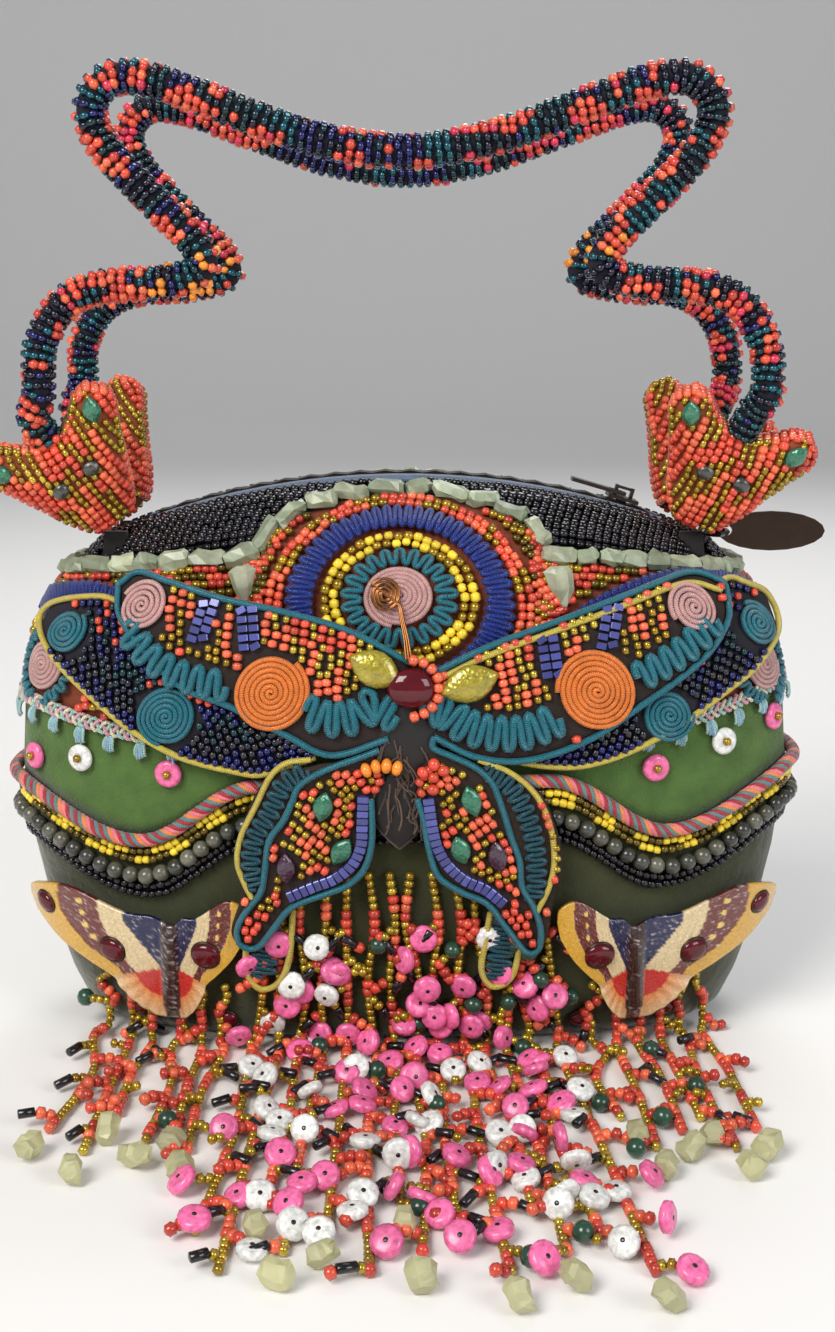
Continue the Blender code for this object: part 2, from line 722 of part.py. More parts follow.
def build_studs():
    """Pink and white disc beads with a gold bead in the middle."""
    seat = SEAT_GAP + 0.15
    profile = [(STUD_RADIUS * 0.9, seat), (STUD_RADIUS, seat + STUD_THICK * 0.6),
               (STUD_RADIUS * 0.8, seat + STUD_THICK), (1.3, seat + STUD_THICK),
               (0.9, seat + STUD_THICK + 1.0)]
    for name, (x, z) in STUD_PLACES.items():
        colour = (0.8, 0.12, 0.3) if "pink" in name else (0.75, 0.75, 0.75)
        disc(name, x, z, profile, finish(name, colour, 0.35), sides=8)


def build_rosettes():
    """The front rosette's five rings, one at the back, and one at each corner."""
    seat = BEADS_PROUD + SEAT_GAP + 0.3
    squash = ROSETTE_SQUASH
    disc("rosette_coil", ROSETTE_X, ROSETTE_Z, coil_profile(COIL_RADIUS, 3, seat, RUFFLE_HEIGHT),
         finish("mauve_cord", (0.6, 0.38, 0.4), 0.4), sides=14, squash=squash)
    rings = (
        ("rosette_teal_ruffle", TEAL_RING, 36, RUFFLE_FOLD, (0.02, 0.14, 0.17)),
        ("rosette_bead_ring", BEAD_RING, 28, 0.3, (0.6, 0.45, 0.04)),
        ("rosette_blue_ruffle", BLUE_RING, 60, RUFFLE_FOLD, (0.01, 0.03, 0.3)),
        ("rosette_coral_ring", CORAL_RING, 32, 0.3, (0.75, 0.11, 0.04)),
    )
    for name, radii, steps, fold, colour in rings:
        annulus(name, ROSETTE_X, ROSETTE_Z, radii, RUFFLE_HEIGHT, finish(name, colour, 0.45),
                steps, fold, squash)
    radii = (BEAD_RING[0], BLUE_RING[0], BLUE_RING[1])
    back = annulus("rosette_back_front", 0.0, ROSETTE_Z, radii, RUFFLE_HEIGHT * 0.8,
                   finish("rosette_back", (0.01, 0.03, 0.3), 0.45), 28, RUFFLE_FOLD, squash)
    mirror_to_back(back, "rosette_back")
    bpy.data.objects.remove(back, do_unlink=True)
    for side, mark in ((-1, "left"), (1, "right")):
        arc = (0.24 * math.pi, 0.88 * math.pi) if side > 0 else (0.12 * math.pi, 0.76 * math.pi)
        cord = finish(f"corner_rosette_{mark}", (0.01, 0.03, 0.3), 0.45)
        front = annulus(f"corner_rosette_front_{mark}", side * CORNER_X, CORNER_Z, CORNER_BLUE_RING,
                        CORNER_HEIGHT, cord, 26, CORNER_FOLD, 1.0, arc)
        mirror_to_back(front, f"corner_rosette_back_{'right' if side < 0 else 'left'}")


def build_chip_border():
    """Stone chips in one closed row: round the shoulders, over the rosettes in the middle."""
    angles = np.linspace(0, 2 * math.pi, CHIP_COUNT * 2, endpoint=False)
    levels = level_at(angles, chip_line(angles))
    points = body_point(angles, levels)
    normals = body_normal(angles, levels)
    across = np.cross(normals, np.roll(points, -1, axis=0) - np.roll(points, 1, axis=0))
    across /= np.linalg.norm(across, axis=1, keepdims=True)
    seat = SEAT_GAP + 0.4
    rings = []
    for index, (point, normal, side) in enumerate(zip(points, normals, across)):
        share = 1.0 if index % 2 == 0 else 0.78
        top, half = seat + CHIP_THICK * share, CHIP_WIDTH / 2 * math.sqrt(share)
        corners = ((-half, seat), (-half, top), (half, top), (half, seat))
        rings.append([point + side * wide + normal * high for wide, high in corners])
    return add_piece("chip_border", *tube(np.array(rings), closed=True),
                     finish("pale_stone_chips", (0.35, 0.42, 0.3), 0.2))


# Handles

ROPE_ROUTE = ((-100.0, 190.0), (-99.0, 203.0), (-92.0, 214.0), (-81.0, 218.5), (-66.0, 219.5),
              (-54.0, 223.0), (-56.5, 230.5), (-68.0, 242.0), (-79.0, 254.0), (-83.0, 264.5), (-77.0, 272.0),
              (-66.0, 271.5), (-54.0, 267.5), (-39.0, 262.0), (-22.0, 256.5), (0.0, 253.5))
ROPE_SEGMENTS = 52


def head_frame(side, front):
    """Snout place and the head's own directions: along it, across it and through it."""
    lean = math.radians(HEAD_LEAN)
    turn = math.radians(HEAD_TILT_LEFT if side < 0 else HEAD_TILT_RIGHT) * side
    along = Vector((math.sin(turn) * math.cos(lean), front * math.sin(lean), math.cos(turn) * math.cos(lean)))
    across = Vector((math.cos(turn), 0.0, -math.sin(turn)))
    through = across.cross(along).normalized()
    rise = SNOUT * HEAD_HALF_SPAN * abs(math.sin(turn)) + SNOUT_FLAT * HEAD_THICK * abs(through.z)
    return Vector((side * SNOUT_X, front * HINGE_Y, HINGE_Z + rise)), along, across, through


def build_head(name, side, front, material):
    """A stuffed head: snout below, two ears above with a notch for the rope between them."""
    span, length = HEAD_HALF_SPAN, HEAD_LENGTH
    half = [(SNOUT, 0.0), (0.42, 0.22), (0.60, 0.48), (0.72, 0.72), (1.0, 0.98), (0.62, 1.06), (0.36, NOTCH)]
    outline = [(span * a, length * u) for a, u in half] + [(-span * a, length * u) for a, u in reversed(half)]
    outline = np.array(outline)
    centre = np.array((0.0, length * 0.5))
    origin, along, across, through = head_frame(side, front)
    rings = []
    for shrink, depth in ((0.30, -1.0), (0.72, -0.86), (1.0, -0.28), (1.0, 0.28), (0.72, 0.86), (0.30, 1.0)):
        ring = []
        for wide, up in (outline - centre) * shrink + centre:
            thick = HEAD_THICK * (SNOUT_THICK + (1 - SNOUT_THICK) * min(1.0, up / (0.5 * length)))
            ring.append(origin + across * wide + along * up + through * (depth * thick))
        rings.append(ring)
    return add_piece(name, *tube(np.array(rings)), material,
                     origin=(0.0, front * HINGE_Y, HINGE_Z), smooth=50.0)


def build_handle(name, front):
    """A wire-cored rope wound with rings of beads, its ends in the notches of two heads."""
    ends = []
    for side in (-1, 1):
        origin, along, _, _ = head_frame(side, front)
        foot = origin + along * (NOTCH * HEAD_LENGTH + ROPE_SEAT)
        ends.append([tuple(foot), tuple(foot + along * 1.5 * ROPE_RADIUS)])
    right = [(-x, z) for x, z in reversed(ROPE_ROUTE[:-1])]
    route = [(x * SPREAD, front * ROPE_Y, z) for x, z in (*ROPE_ROUTE, *right)]
    points = smooth_path([*ends[0], *route, *reversed(ends[1])], ROPE_SEGMENTS)
    radii = np.where(np.arange(ROPE_SEGMENTS) % 2 == 0, ROPE_RADIUS, ROPE_RADIUS * 0.93)
    sections = round_sections(points, radii, 6, (0.0, 1.0, 0.0))
    return add_piece(name, *tube(sections), finish(f"{name}_beads", (0.02, 0.03, 0.1), 0.3),
                     origin=(0.0, front * HINGE_Y, HINGE_Z), smooth=50.0)


def build_tab(name, side, front):
    """The tab that is sewn to the bag's top and holds a snout."""
    x, y = side * SNOUT_X, front * HINGE_Y
    half, depth = TAB_HALF_WIDTH, TAB_HALF_DEPTH
    low, high = [], []
    for dx, dy in ((-half, -depth), (half, -depth), (half, depth), (-half, depth)):
        low.append((x + dx, y + dy, top_height(x + dx, y + dy) + SEAT_GAP + 0.1))
        high.append((x + dx * TAB_TAPER, y + dy * TAB_DEPTH_TAPER, HINGE_Z - SEAT_GAP))
    return add_piece(name, *tube(np.array((low, high))), finish(f"{name}_cloth", (0.35, 0.08, 0.03), 0.6))


def top_height(x, y):
    """Height of the body's top above (x, y)."""
    levels = np.linspace(5, TOP, 301)
    height, half_width, half_depth, weight = station(levels)
    inside = (abs(x) / half_width) ** GIRTH_POWER + (abs(y) / half_depth) ** GIRTH_POWER
    last = int(np.argmax(inside > 1.0)) if np.any(inside > 1.0) else len(levels) - 1
    return float(height[last] - weight[last] * crest_fall(x))


def build_handles():
    """Both ropes, each with a head at either end and a tab under each head."""
    head_cloth = finish("coral_and_gold_beads", (0.6, 0.12, 0.03), 0.35)
    for front, place in ((-1, "front"), (1, "back")):
        build_handle(f"handle_{place}", front)
        for side, mark in ((-1, "left"), (1, "right")):
            build_head(f"head_{place}_{mark}", side, front, head_cloth)
            build_tab(f"snout_tab_{place}_{mark}", side, front)


# Zip

CREST_CENTRE_Z = CREST_HEIGHT - CREST_RADIUS


def crest_arc(section_rings):
    """Bend rings of (x, y, rise) points along the crest's arc."""
    rings = np.asarray(section_rings, float)
    angle = np.arcsin(rings[..., 0] / CREST_RADIUS)
    reach = CREST_RADIUS + rings[..., 2]
    return np.stack((reach * np.sin(angle), rings[..., 1], CREST_CENTRE_Z + reach * np.cos(angle)), axis=-1)


def build_zip():
    """Two tapes, two rows of teeth, the slider and its pull."""
    tape_cloth = finish("zip_tape", (0.08, 0.14, 0.22), 0.8)
    metal = finish("zip_metal", (0.75, 0.5, 0.42), 0.35, 1.0)
    for front, place in ((-1, "front"), (1, "back")):
        rings = []
        for x in np.linspace(-TAPE_HALF_LENGTH, TAPE_HALF_LENGTH, 18):
            crest = CREST_HEIGHT - float(crest_fall(x))
            rim = max(top_height(x, MOUTH_HALF_WIDTH + 0.6) - crest, -0.8) + SEAT_GAP + 0.5
            edge = top_height(x, TAPE_OUTER) - crest + SEAT_GAP + 0.4
            low = [(TAPE_INNER, 0.0), (MOUTH_HALF_WIDTH, rim), (TAPE_OUTER, edge)]
            section = low + [(y, rise + TAPE_THICK) for y, rise in reversed(low)]
            rings.append([(x, front * y, rise) for y, rise in section])
        add_piece(f"zip_tape_{place}", *tube(crest_arc(rings)), tape_cloth)
        rings = []
        for index, x in enumerate(np.linspace(-TEETH_HALF_LENGTH, TEETH_HALF_LENGTH, TEETH_COUNT)):
            top = TEETH_TOP if index % 2 == 0 else TEETH_TOP - 0.6
            corners = ((TEETH_INNER, TEETH_BOTTOM), (TEETH_OUTER, TEETH_BOTTOM),
                       (TEETH_OUTER, top), (TEETH_INNER, top))
            rings.append([(x, front * y, rise) for y, rise in corners])
        add_piece(f"zip_teeth_{place}", *tube(crest_arc(rings)), metal, smooth=10.0)
    build_slider(metal)


def on_crest(points, x):
    """Local (along, across, rise) points set on the crest at x."""
    angle = math.asin(x / CREST_RADIUS)
    points = np.asarray(points, float)
    reach = CREST_RADIUS + points[..., 2]
    centre_x = reach * math.sin(angle) + points[..., 0] * math.cos(angle)
    centre_z = CREST_CENTRE_Z + reach * math.cos(angle) - points[..., 0] * math.sin(angle)
    return np.stack((centre_x, points[..., 1], centre_z), axis=-1)


def unite(body, others):
    """Join other closed solids to a body by exact unions."""
    for other in others:
        union = body.modifiers.new(other.name, "BOOLEAN")
        union.operation = "UNION"
        union.object = other
        other.hide_render = True
        other.display_type = "WIRE"


def join_boxes(name, boxes, material, origin, x):
    """One solid from overlapping boxes, each (along, across, rise) ranges, set on the crest at x."""
    pieces = []
    for index, box in enumerate(boxes):
        vertices, faces = tube(box_sections(*box))
        part_name = name if index == 0 else f"{name}_{index}"
        pieces.append(add_piece(part_name, on_crest(vertices, x), faces, material, origin=origin))
    unite(pieces[0], pieces[1:])


def build_slider(metal):
    """The slider, two plates with a post between them and a bridge above, and its pull."""
    half = SLIDER_HALF_LENGTH
    top_low = TEETH_TOP + SEAT_GAP
    top_high = top_low + SLIDER_PLATE
    bottom_high = TEETH_BOTTOM - SEAT_GAP
    bottom_low = bottom_high - SLIDER_PLATE
    bridge_top = top_high + 3.0
    boxes = (
        ((-half, half), (-4.4, 4.4), (top_low, top_high)),
        ((-1.6, 1.6), (-SLIDER_POST, SLIDER_POST), (bottom_low + 0.2, top_high - 0.2)),
        ((-half + 0.8, half - 0.8), (-3.1, 3.1), (bottom_low, bottom_high)),
        ((-2.9, -1.9), (-1.0, 1.0), (top_high - 0.3, bridge_top)),
        ((1.9, 2.9), (-1.0, 1.0), (top_high - 0.3, bridge_top)),
        ((-2.7, 2.7), (-0.9, 0.9), (bridge_top - 0.9, bridge_top - 0.1)),
    )
    join_boxes("zip_slider", boxes, metal, (0.0, 0.0, CREST_CENTRE_Z), SLIDER_X)
    eye = top_high + SEAT_GAP + PULL_THICK / 2
    pivot = on_crest(np.array((0.0, 0.0, eye)), SLIDER_X)
    bar, slot = PULL_THICK / 2, PULL_SLOT_HALF_WIDTH
    low, high = eye - bar, eye + bar
    outer = [(-PULL_LENGTH, -PULL_HALF_WIDTH), (bar, -PULL_HALF_WIDTH), (bar, PULL_HALF_WIDTH),
             (-PULL_LENGTH, PULL_HALF_WIDTH)]
    inner = [(-PULL_SLOT, -slot), (-bar, -slot), (-bar, slot), (-PULL_SLOT, slot)]
    columns = []
    for (ax, ay), (bx, by) in zip(outer, inner):
        columns.append([(ax, ay, low), (ax, ay, high), (bx, by, high), (bx, by, low)])
    add_piece("zip_pull", *tube(on_crest(columns, SLIDER_X), closed=True), metal, origin=pivot, smooth=10.0)


# Butterfly and pins: wings are grids between an upper and a lower edge, seen from the front

FRONT_WING_LEFT = (
    ((2.0, 117.0), (-15.0, 125.0), (-33.0, 129.5), (-48.0, 132.0), (-63.0, 135.5), (-71.5, 137.0),
     (-77.0, 134.0)),
    ((-4.0, 97.0), (-19.5, 92.5), (-32.0, 98.0), (-46.5, 105.0), (-60.0, 110.0), (-70.5, 119.5),
     (-76.5, 127.0)),
)
FRONT_WING_RIGHT = (
    ((8.0, 114.0), (22.0, 120.5), (37.0, 125.5), (60.0, 132.5), (76.0, 136.5), (86.0, 134.0),
     (88.0, 130.0)),
    ((8.5, 97.5), (20.0, 92.0), (34.0, 91.0), (50.0, 96.0), (64.0, 104.5), (80.0, 115.0),
     (87.5, 124.0)),
)
REAR_WING_LEFT = (
    ((-24.0, 94.5), (-37.5, 100.0), (-47.0, 106.0), (-60.0, 112.0), (-70.0, 122.0), (-78.5, 130.5),
     (-89.0, 130.5), (-98.0, 127.5)),
    ((-24.0, 91.5), (-37.5, 86.6), (-46.0, 87.0), (-61.5, 90.6), (-75.0, 97.5), (-88.5, 107.5),
     (-97.0, 115.0), (-101.0, 122.5)),
)
REAR_WING_RIGHT = (
    ((24.0, 95.5), (38.0, 99.0), (50.0, 106.0), (63.0, 114.0), (78.0, 126.0), (88.0, 134.5), (96.0, 132.5),
     (102.0, 128.5)),
    ((24.0, 92.0), (37.5, 89.0), (49.0, 88.5), (61.0, 91.5), (74.0, 97.5), (88.0, 106.0), (98.0, 112.5),
     (104.5, 121.0)),
)
HIND_WING_LEFT = (
    ((-5.5, 94.5), (-15.0, 91.0), (-24.0, 89.5), (-37.0, 85.5), (-43.0, 75.0), (-45.5, 64.0),
     (-45.0, 52.0), (-48.0, 41.0), (-46.0, 35.5)),
    ((-5.0, 86.0), (-8.5, 78.0), (-9.0, 68.0), (-12.0, 60.0), (-20.0, 54.0), (-30.0, 49.5), (-36.0, 43.0),
     (-40.0, 36.5)),
)
HIND_WING_RIGHT = (
    ((7.5, 94.5), (20.0, 89.5), (36.0, 83.0), (41.5, 73.0), (43.8, 62.0), (41.5, 50.0), (40.5, 41.0),
     (38.5, 35.0)),
    ((4.0, 86.0), (4.0, 79.0), (6.0, 69.0), (9.5, 59.5), (15.0, 54.5), (23.0, 50.5), (29.5, 43.0),
     (33.5, 36.0)),
)
PIN_WING = (
    ((0.8, 40.0), (6.0, 44.0), (14.0, 43.0), (30.0, 48.5), (40.5, 46.5), (42.0, 42.5)),
    ((0.8, 11.0), (6.0, 10.5), (14.0, 16.0), (27.0, 25.0), (36.0, 33.0), (41.0, 38.0)),
)
WING_COLUMN_COUNT = 9
WING_ROW_COUNT = 4


def even_line(points, count):
    """Points at even distances along a line of (x, z) points."""
    flat = np.array([(x, 0.0, z) for x, z in points])
    return smooth_path(flat, count)[:, (0, 2)]


def wing_grid(edges, columns=WING_COLUMN_COUNT, rows=WING_ROW_COUNT):
    """The (x, z) grid between two edges."""
    upper, lower = (even_line(edge, columns) for edge in edges)
    share = np.linspace(0, 1, rows)[None, :, None]
    return lower[:, None] * (1 - share) + upper[:, None] * share


def wing(name, edges, heights, material, rim=WING_RIM):
    """A wing that follows the body, its edge cord standing above its middle."""
    grid = wing_grid(edges)
    raised = np.full(grid.shape[:2], heights[1])
    raised[1:-1, 1:-1] -= rim
    outer = front_point(grid[..., 0], grid[..., 1], raised)
    inner = front_point(grid[..., 0], grid[..., 1], np.full(raised.shape, heights[0]))
    return add_piece(name, *slab(outer, inner, wraps=False), material, smooth=25.0)


def build_butterfly():
    """Six wings with their coils and stones, the body's cabochon and the wire antenna."""
    teal, yellow = (0.02, 0.14, 0.17), (0.55, 0.45, 0.15)
    for name, edges, heights, colour in (
        ("rear_wing_left", REAR_WING_LEFT, REAR_WING, yellow),
        ("rear_wing_right", REAR_WING_RIGHT, REAR_WING, yellow),
        ("front_wing_left", FRONT_WING_LEFT, FRONT_WING, teal),
        ("front_wing_right", FRONT_WING_RIGHT, FRONT_WING, teal),
        ("hind_wing_left", HIND_WING_LEFT, HIND_WING, teal),
        ("hind_wing_right", HIND_WING_RIGHT, HIND_WING, teal),
    ):
        wing(name, edges, heights, finish(name, colour, 0.5))
    coils = (
        ("front_wing_left", -35.5, 109.0, 10.0, FRONT_WING),
        ("front_wing_left", -70.0, 129.5, 6.0, FRONT_WING),
        ("front_wing_right", 52.0, 109.0, 10.5, FRONT_WING),
        ("front_wing_right", 78.0, 128.5, 6.2, FRONT_WING),
        ("rear_wing_left", -92.5, 122.0, 5.6, REAR_WING),
        ("rear_wing_left", -64.5, 101.5, 7.5, REAR_WING),
        ("rear_wing_right", 97.5, 123.0, 5.8, REAR_WING),
        ("rear_wing_right", 72.5, 101.5, 6.5, REAR_WING),
    )
    for order, (owner, x, z, radius, heights) in enumerate(coils):
        thick = heights[1] - heights[0] + COIL_THICK - COIL_SINK
        coil = disc(f"wing_coil_{order}", x, z, coil_profile(radius, 2, heights[0] + COIL_SINK, thick),
                    finish(f"wing_coil_{order}", (0.7, 0.25, 0.06), 0.4), sides=10)
        unite(bpy.data.objects[owner], [coil])
    build_body_jewel()


def build_body_jewel():
    """The ruby cabochon on its bead ring, and the antenna of copper wire."""
    seat = FRONT_WING[1] + SEAT_GAP
    radius = CABOCHON_RADIUS
    dome = [(0.5, seat), (radius * 1.3, seat), (radius * 1.35, seat + 1.2), (radius, seat + 1.6),
            (radius * 0.9, seat + 2.8), (radius * 0.5, seat + 3.8)]
    disc("cabochon", 2.5, CABOCHON_Z, dome, finish("ruby_glass", (0.25, 0.0, 0.01), 0.1), sides=12)
    turns = np.linspace(0, 1, 26)
    angle = turns * 2.25 * 2 * math.pi
    reach = 0.9 + 3.3 * turns
    spiral = np.stack((-5.0 + reach * np.cos(angle), 134.0 + reach * np.sin(angle)), axis=1)
    stem = np.array(((-0.8, 131.5), (0.0, 127.0), (1.0, 122.5), (1.6, 118.9)))
    flat = np.concatenate((spiral, stem))
    height = np.concatenate((np.full(len(spiral), 5.4), (5.8, 8.0, 9.4, 9.3)))
    points = front_point(flat[:, 0], flat[:, 1], height)
    out = body_normal(*place_front(np.array(0.0), np.array(128.0)))
    sections = round_sections(points, np.full(len(points), ANTENNA_RADIUS), 4, out)
    add_piece("antenna", *tube(sections), finish("copper_wire", (0.7, 0.32, 0.15), 0.3, 1.0))


def build_pins():
    """Two enamel butterfly pins, the wing towards the bag's middle shorter, a raised body between."""
    half = wing_grid(PIN_WING, columns=6, rows=4)
    inward = half[::-1] * (-PIN_INNER_SHARE, 1.0)
    grid = np.concatenate((inward, half))
    raised = np.full(grid.shape[:2], PIN_PLATE[1])
    raised[len(half) - 1:len(half) + 1, 1:3] += PIN_BODY_RISE
    flat = np.full(raised.shape, PIN_PLATE[0])
    for side, mark, middle in ((-1, "left", PIN_LEFT_X), (1, "right", PIN_RIGHT_X)):
        x = middle + side * grid[..., 0]
        outer = front_point(x, grid[..., 1], raised)
        inner = front_point(x, grid[..., 1], flat)
        add_piece(f"butterfly_pin_{mark}", *slab(outer, inner, wraps=False),
                  finish(f"enamel_{mark}", (0.45, 0.2, 0.08), 0.25, 0.3), smooth=20.0)


# Fringe

def fringe(name, x_range, z, count, spread, reach_range, discs, material):
    """Bead strands drawn from the lower faces of a sewn heading, laid forward on the table."""
    steps = 2 * count
    edges = np.linspace(*x_range, steps)
    seat = SEAT_GAP + 0.25
    high = seat + 2 * STRAND_HALF_WIDTH
    heading = np.stack([front_point(edges, np.full(steps, z + dz), level)
                        for dz, level in ((0.0, seat), (0.0, high), (2.4, high), (2.4, seat))], axis=1)
    vertices = [tuple(point) for point in heading.reshape(-1, 3)]
    faces = []
    for step in range(steps - 1):
        for side in range(4):
            if side == 0 and step % 2 == 0:
                continue
            here, after = step * 4, (step + 1) * 4
            turn = (side + 1) % 4
            faces.append((here + side, here + turn, after + turn, after + side))
    faces += [(0, 1, 2, 3), tuple((steps - 1) * 4 + side for side in range(4))]
    for strand in range(count):
        left, right = strand * 8, strand * 8 + 4
        mouth = (left, left + 1, right + 1, right)
        start = np.mean([vertices[index] for index in mouth], axis=0)
        share = strand / (count - 1)
        end_x = spread[0] + (spread[1] - spread[0]) * share
        reach = reach_range[strand % len(reach_range)]
        path = strand_path(start, (edges[2 * strand] + edges[2 * strand + 1]) / 2, end_x, reach)
        add_strand(vertices, faces, mouth, path, discs if strand % 2 == 0 else discs + 0.09)
    return add_piece(name, np.array(vertices), faces, material, smooth=20.0)


def strand_path(start, x, end_x, reach):
    """Down the body's front from x to part of the way to end_x, then forward along the table."""
    floor = DISC_RADIUS + FLOOR_CLEARANCE
    z = start[2]
    points = [(start[0], start[1], z - 1.0)]
    for share in np.linspace(0, 1, 4)[1:]:
        here = x + (end_x - x) * 0.35 * share
        height = z + (STRAND_TURN - z) * share
        points.append(tuple(front_point(here, height, SEAT_GAP + 0.8 + STRAND_HALF_WIDTH)))
    low_x, low_y, _ = points[-1]
    far_x = (x + (end_x - x) * 0.7) * SPREAD
    points += [(low_x, low_y - 2.0, floor), (low_x, low_y - 9.0, floor),
               (far_x, (low_y - reach) / 2, floor), (end_x * SPREAD, -reach, floor)]
    return smooth_path(points, 40)


def add_strand(vertices, faces, mouth, path, discs):
    """Rings of one strand, wide where a disc bead is, joined to four vertices of the heading."""
    walked = np.linspace(0, 1, len(path))
    length = np.linalg.norm(np.diff(path, axis=0), axis=1).sum()
    half_disc = DISC_THICK / 2 / length
    stops = [(share, STRAND_HALF_WIDTH) for share in (0.03, 0.2, 0.3, 0.4)]
    for share in discs:
        stops += [(share - half_disc * 1.05, STRAND_HALF_WIDTH), (share - half_disc, DISC_RADIUS),
                  (share + half_disc, DISC_RADIUS), (share + half_disc * 1.05, STRAND_HALF_WIDTH)]
    stops = sorted(stops) + [(1.0, STRAND_HALF_WIDTH)]
    shares = np.array([share for share, _ in stops])
    radii = np.array([radius for _, radius in stops])
    _, across, normal = path_frames(path, (1.0, 0.0, 0.0))
    centre, wide, deep = (np.stack([np.interp(shares, walked, field[:, axis]) for axis in range(3)], axis=1)
                          for field in (path, across, normal))
    before = mouth
    first = np.array([vertices[index] for index in mouth])
    signs = []
    for corner in first - first.mean(axis=0):
        signs.append((1 if corner @ wide[0] > 0 else -1, 1 if corner @ deep[0] > 0 else -1))
    for point, side, depth, radius in zip(centre, wide, deep, radii):
        base = len(vertices)
        for one, other in signs:
            vertices.append(tuple(point + side * (one * radius) + depth * (other * radius)))
        ring = tuple(range(base, base + 4))
        for corner in range(4):
            turn = (corner + 1) % 4
            faces.append((before[corner], before[turn], ring[turn], ring[corner]))
        before = ring
    faces.append(before)


def build_fringes():
    """Three groups of strands: under each pin, and under the butterfly."""
    coral = finish("fringe_beads", (0.7, 0.15, 0.05), 0.3)
    side_discs, centre_discs = np.array((0.55, 0.88)), np.array((0.55, 0.84))
    fringe("fringe_left", (-88.0, -54.0), 30.0, 5, (-98.0, -54.0), (98.0, 112.0, 88.0), side_discs, coral)
    fringe("fringe_right", (54.0, 88.0), 30.0, 5, (60.0, 100.0), (92.0, 112.0, 98.0), side_discs, coral)
    fringe("fringe_centre", (-40.0, 38.0), 59.0, 9, (-44.0, 50.0), (150.0, 168.0, 140.0, 160.0),
           centre_discs, coral)


# Tag

def build_tag():
    """The oval tag, with its hole, on a bead loop."""
    turn = np.linspace(0, 2 * math.pi, 20, endpoint=False)
    hole = np.array(TAG_HOLE)
    centre = hole + (TAG_HALF_LENGTH - 3.0, 0.0, 0.0)
    rings = []
    for angle in turn:
        rim = centre + (TAG_HALF_LENGTH * math.cos(angle), 0.0, TAG_HALF_HEIGHT * math.sin(angle))
        edge = hole + (TAG_HOLE_RADIUS * math.cos(angle), 0.0, TAG_HOLE_RADIUS * math.sin(angle))
        deep = np.array((0.0, TAG_THICK / 2, 0.0))
        rings.append([rim - deep, rim + deep, edge + deep, edge - deep])
    add_piece("tag", *tube(np.array(rings), closed=True), finish("bronze", (0.04, 0.025, 0.018), 0.4, 0.8),
              origin=TAG_HOLE)
    half = (TAG_HOLE[0] - SNOUT_X - 0.9 * TAB_HALF_WIDTH - SEAT_GAP - LOOP_RADIUS) / 2
    middle = np.array((TAG_HOLE[0] - half, TAG_HOLE[1] - 3.0, TAG_HOLE[2] - 0.2))
    loop = np.array([middle + (half * math.cos(a), 4.2 * math.sin(a) + 3.0 * max(0.0, math.cos(a)), 0.0)
                     for a in np.linspace(0, 2 * math.pi, 16, endpoint=False)])
    ahead = np.roll(loop, -1, axis=0) - np.roll(loop, 1, axis=0)
    ahead /= np.linalg.norm(ahead, axis=1, keepdims=True)
    up = np.array((0.0, 0.0, 1.0))
    across = np.cross(ahead, up)
    ring = np.linspace(0, 2 * math.pi, 5, endpoint=False)[None, :, None]
    sections = loop[:, None] + LOOP_RADIUS * (np.cos(ring) * across[:, None] + np.sin(ring) * up)
    add_piece("tag_loop", *tube(sections, closed=True), finish("loop_beads", (0.01, 0.01, 0.012), 0.2))


def main():
    """Build the bag from the carcass outwards."""
    clean_scene()
    build_carcass()
    build_trims()
    build_studs()
    build_rosettes()
    build_chip_border()
    build_handles()
    build_zip()
    build_butterfly()
    build_pins()
    build_fringes()
    build_tag()


main()
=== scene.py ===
"""Looks of a domed evening bag in beadwork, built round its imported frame.

The bag stands at the origin with its front towards -Y. Sizes here are millimetres until a mesh is
made, and colours are written as they show on screen. Ornament is set on the body's smooth surface:
by the place (x, z) at which the front is seen, or by distances walked along the surface from such a
place. Every bead, cord and chip is gathered in a Heap of quads, one Heap for each finish of a part.
"""
import logging
import math
from collections.abc import Callable
from dataclasses import dataclass, field
from enum import Enum

import bpy
import numpy as np
from mathutils import Euler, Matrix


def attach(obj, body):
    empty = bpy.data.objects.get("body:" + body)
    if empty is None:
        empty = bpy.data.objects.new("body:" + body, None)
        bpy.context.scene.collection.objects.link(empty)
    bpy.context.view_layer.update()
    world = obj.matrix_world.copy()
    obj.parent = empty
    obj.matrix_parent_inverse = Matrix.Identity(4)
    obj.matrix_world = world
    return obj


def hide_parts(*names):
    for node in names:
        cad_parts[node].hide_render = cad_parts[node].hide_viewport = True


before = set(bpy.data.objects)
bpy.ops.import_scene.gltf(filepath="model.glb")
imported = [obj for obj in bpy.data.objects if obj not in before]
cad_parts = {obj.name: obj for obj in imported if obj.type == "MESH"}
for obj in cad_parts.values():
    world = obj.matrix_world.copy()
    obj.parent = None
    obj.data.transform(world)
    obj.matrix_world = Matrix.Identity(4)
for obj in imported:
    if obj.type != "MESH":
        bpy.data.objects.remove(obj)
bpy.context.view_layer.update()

MM = 0.001
TAU = 2 * math.pi
log = logging.getLogger("bag")

Array = np.ndarray
Rng = np.random.Generator
Tree = bpy.types.NodeTree
SIDES = ((-1, "left"), (1, "right"))


# Colours

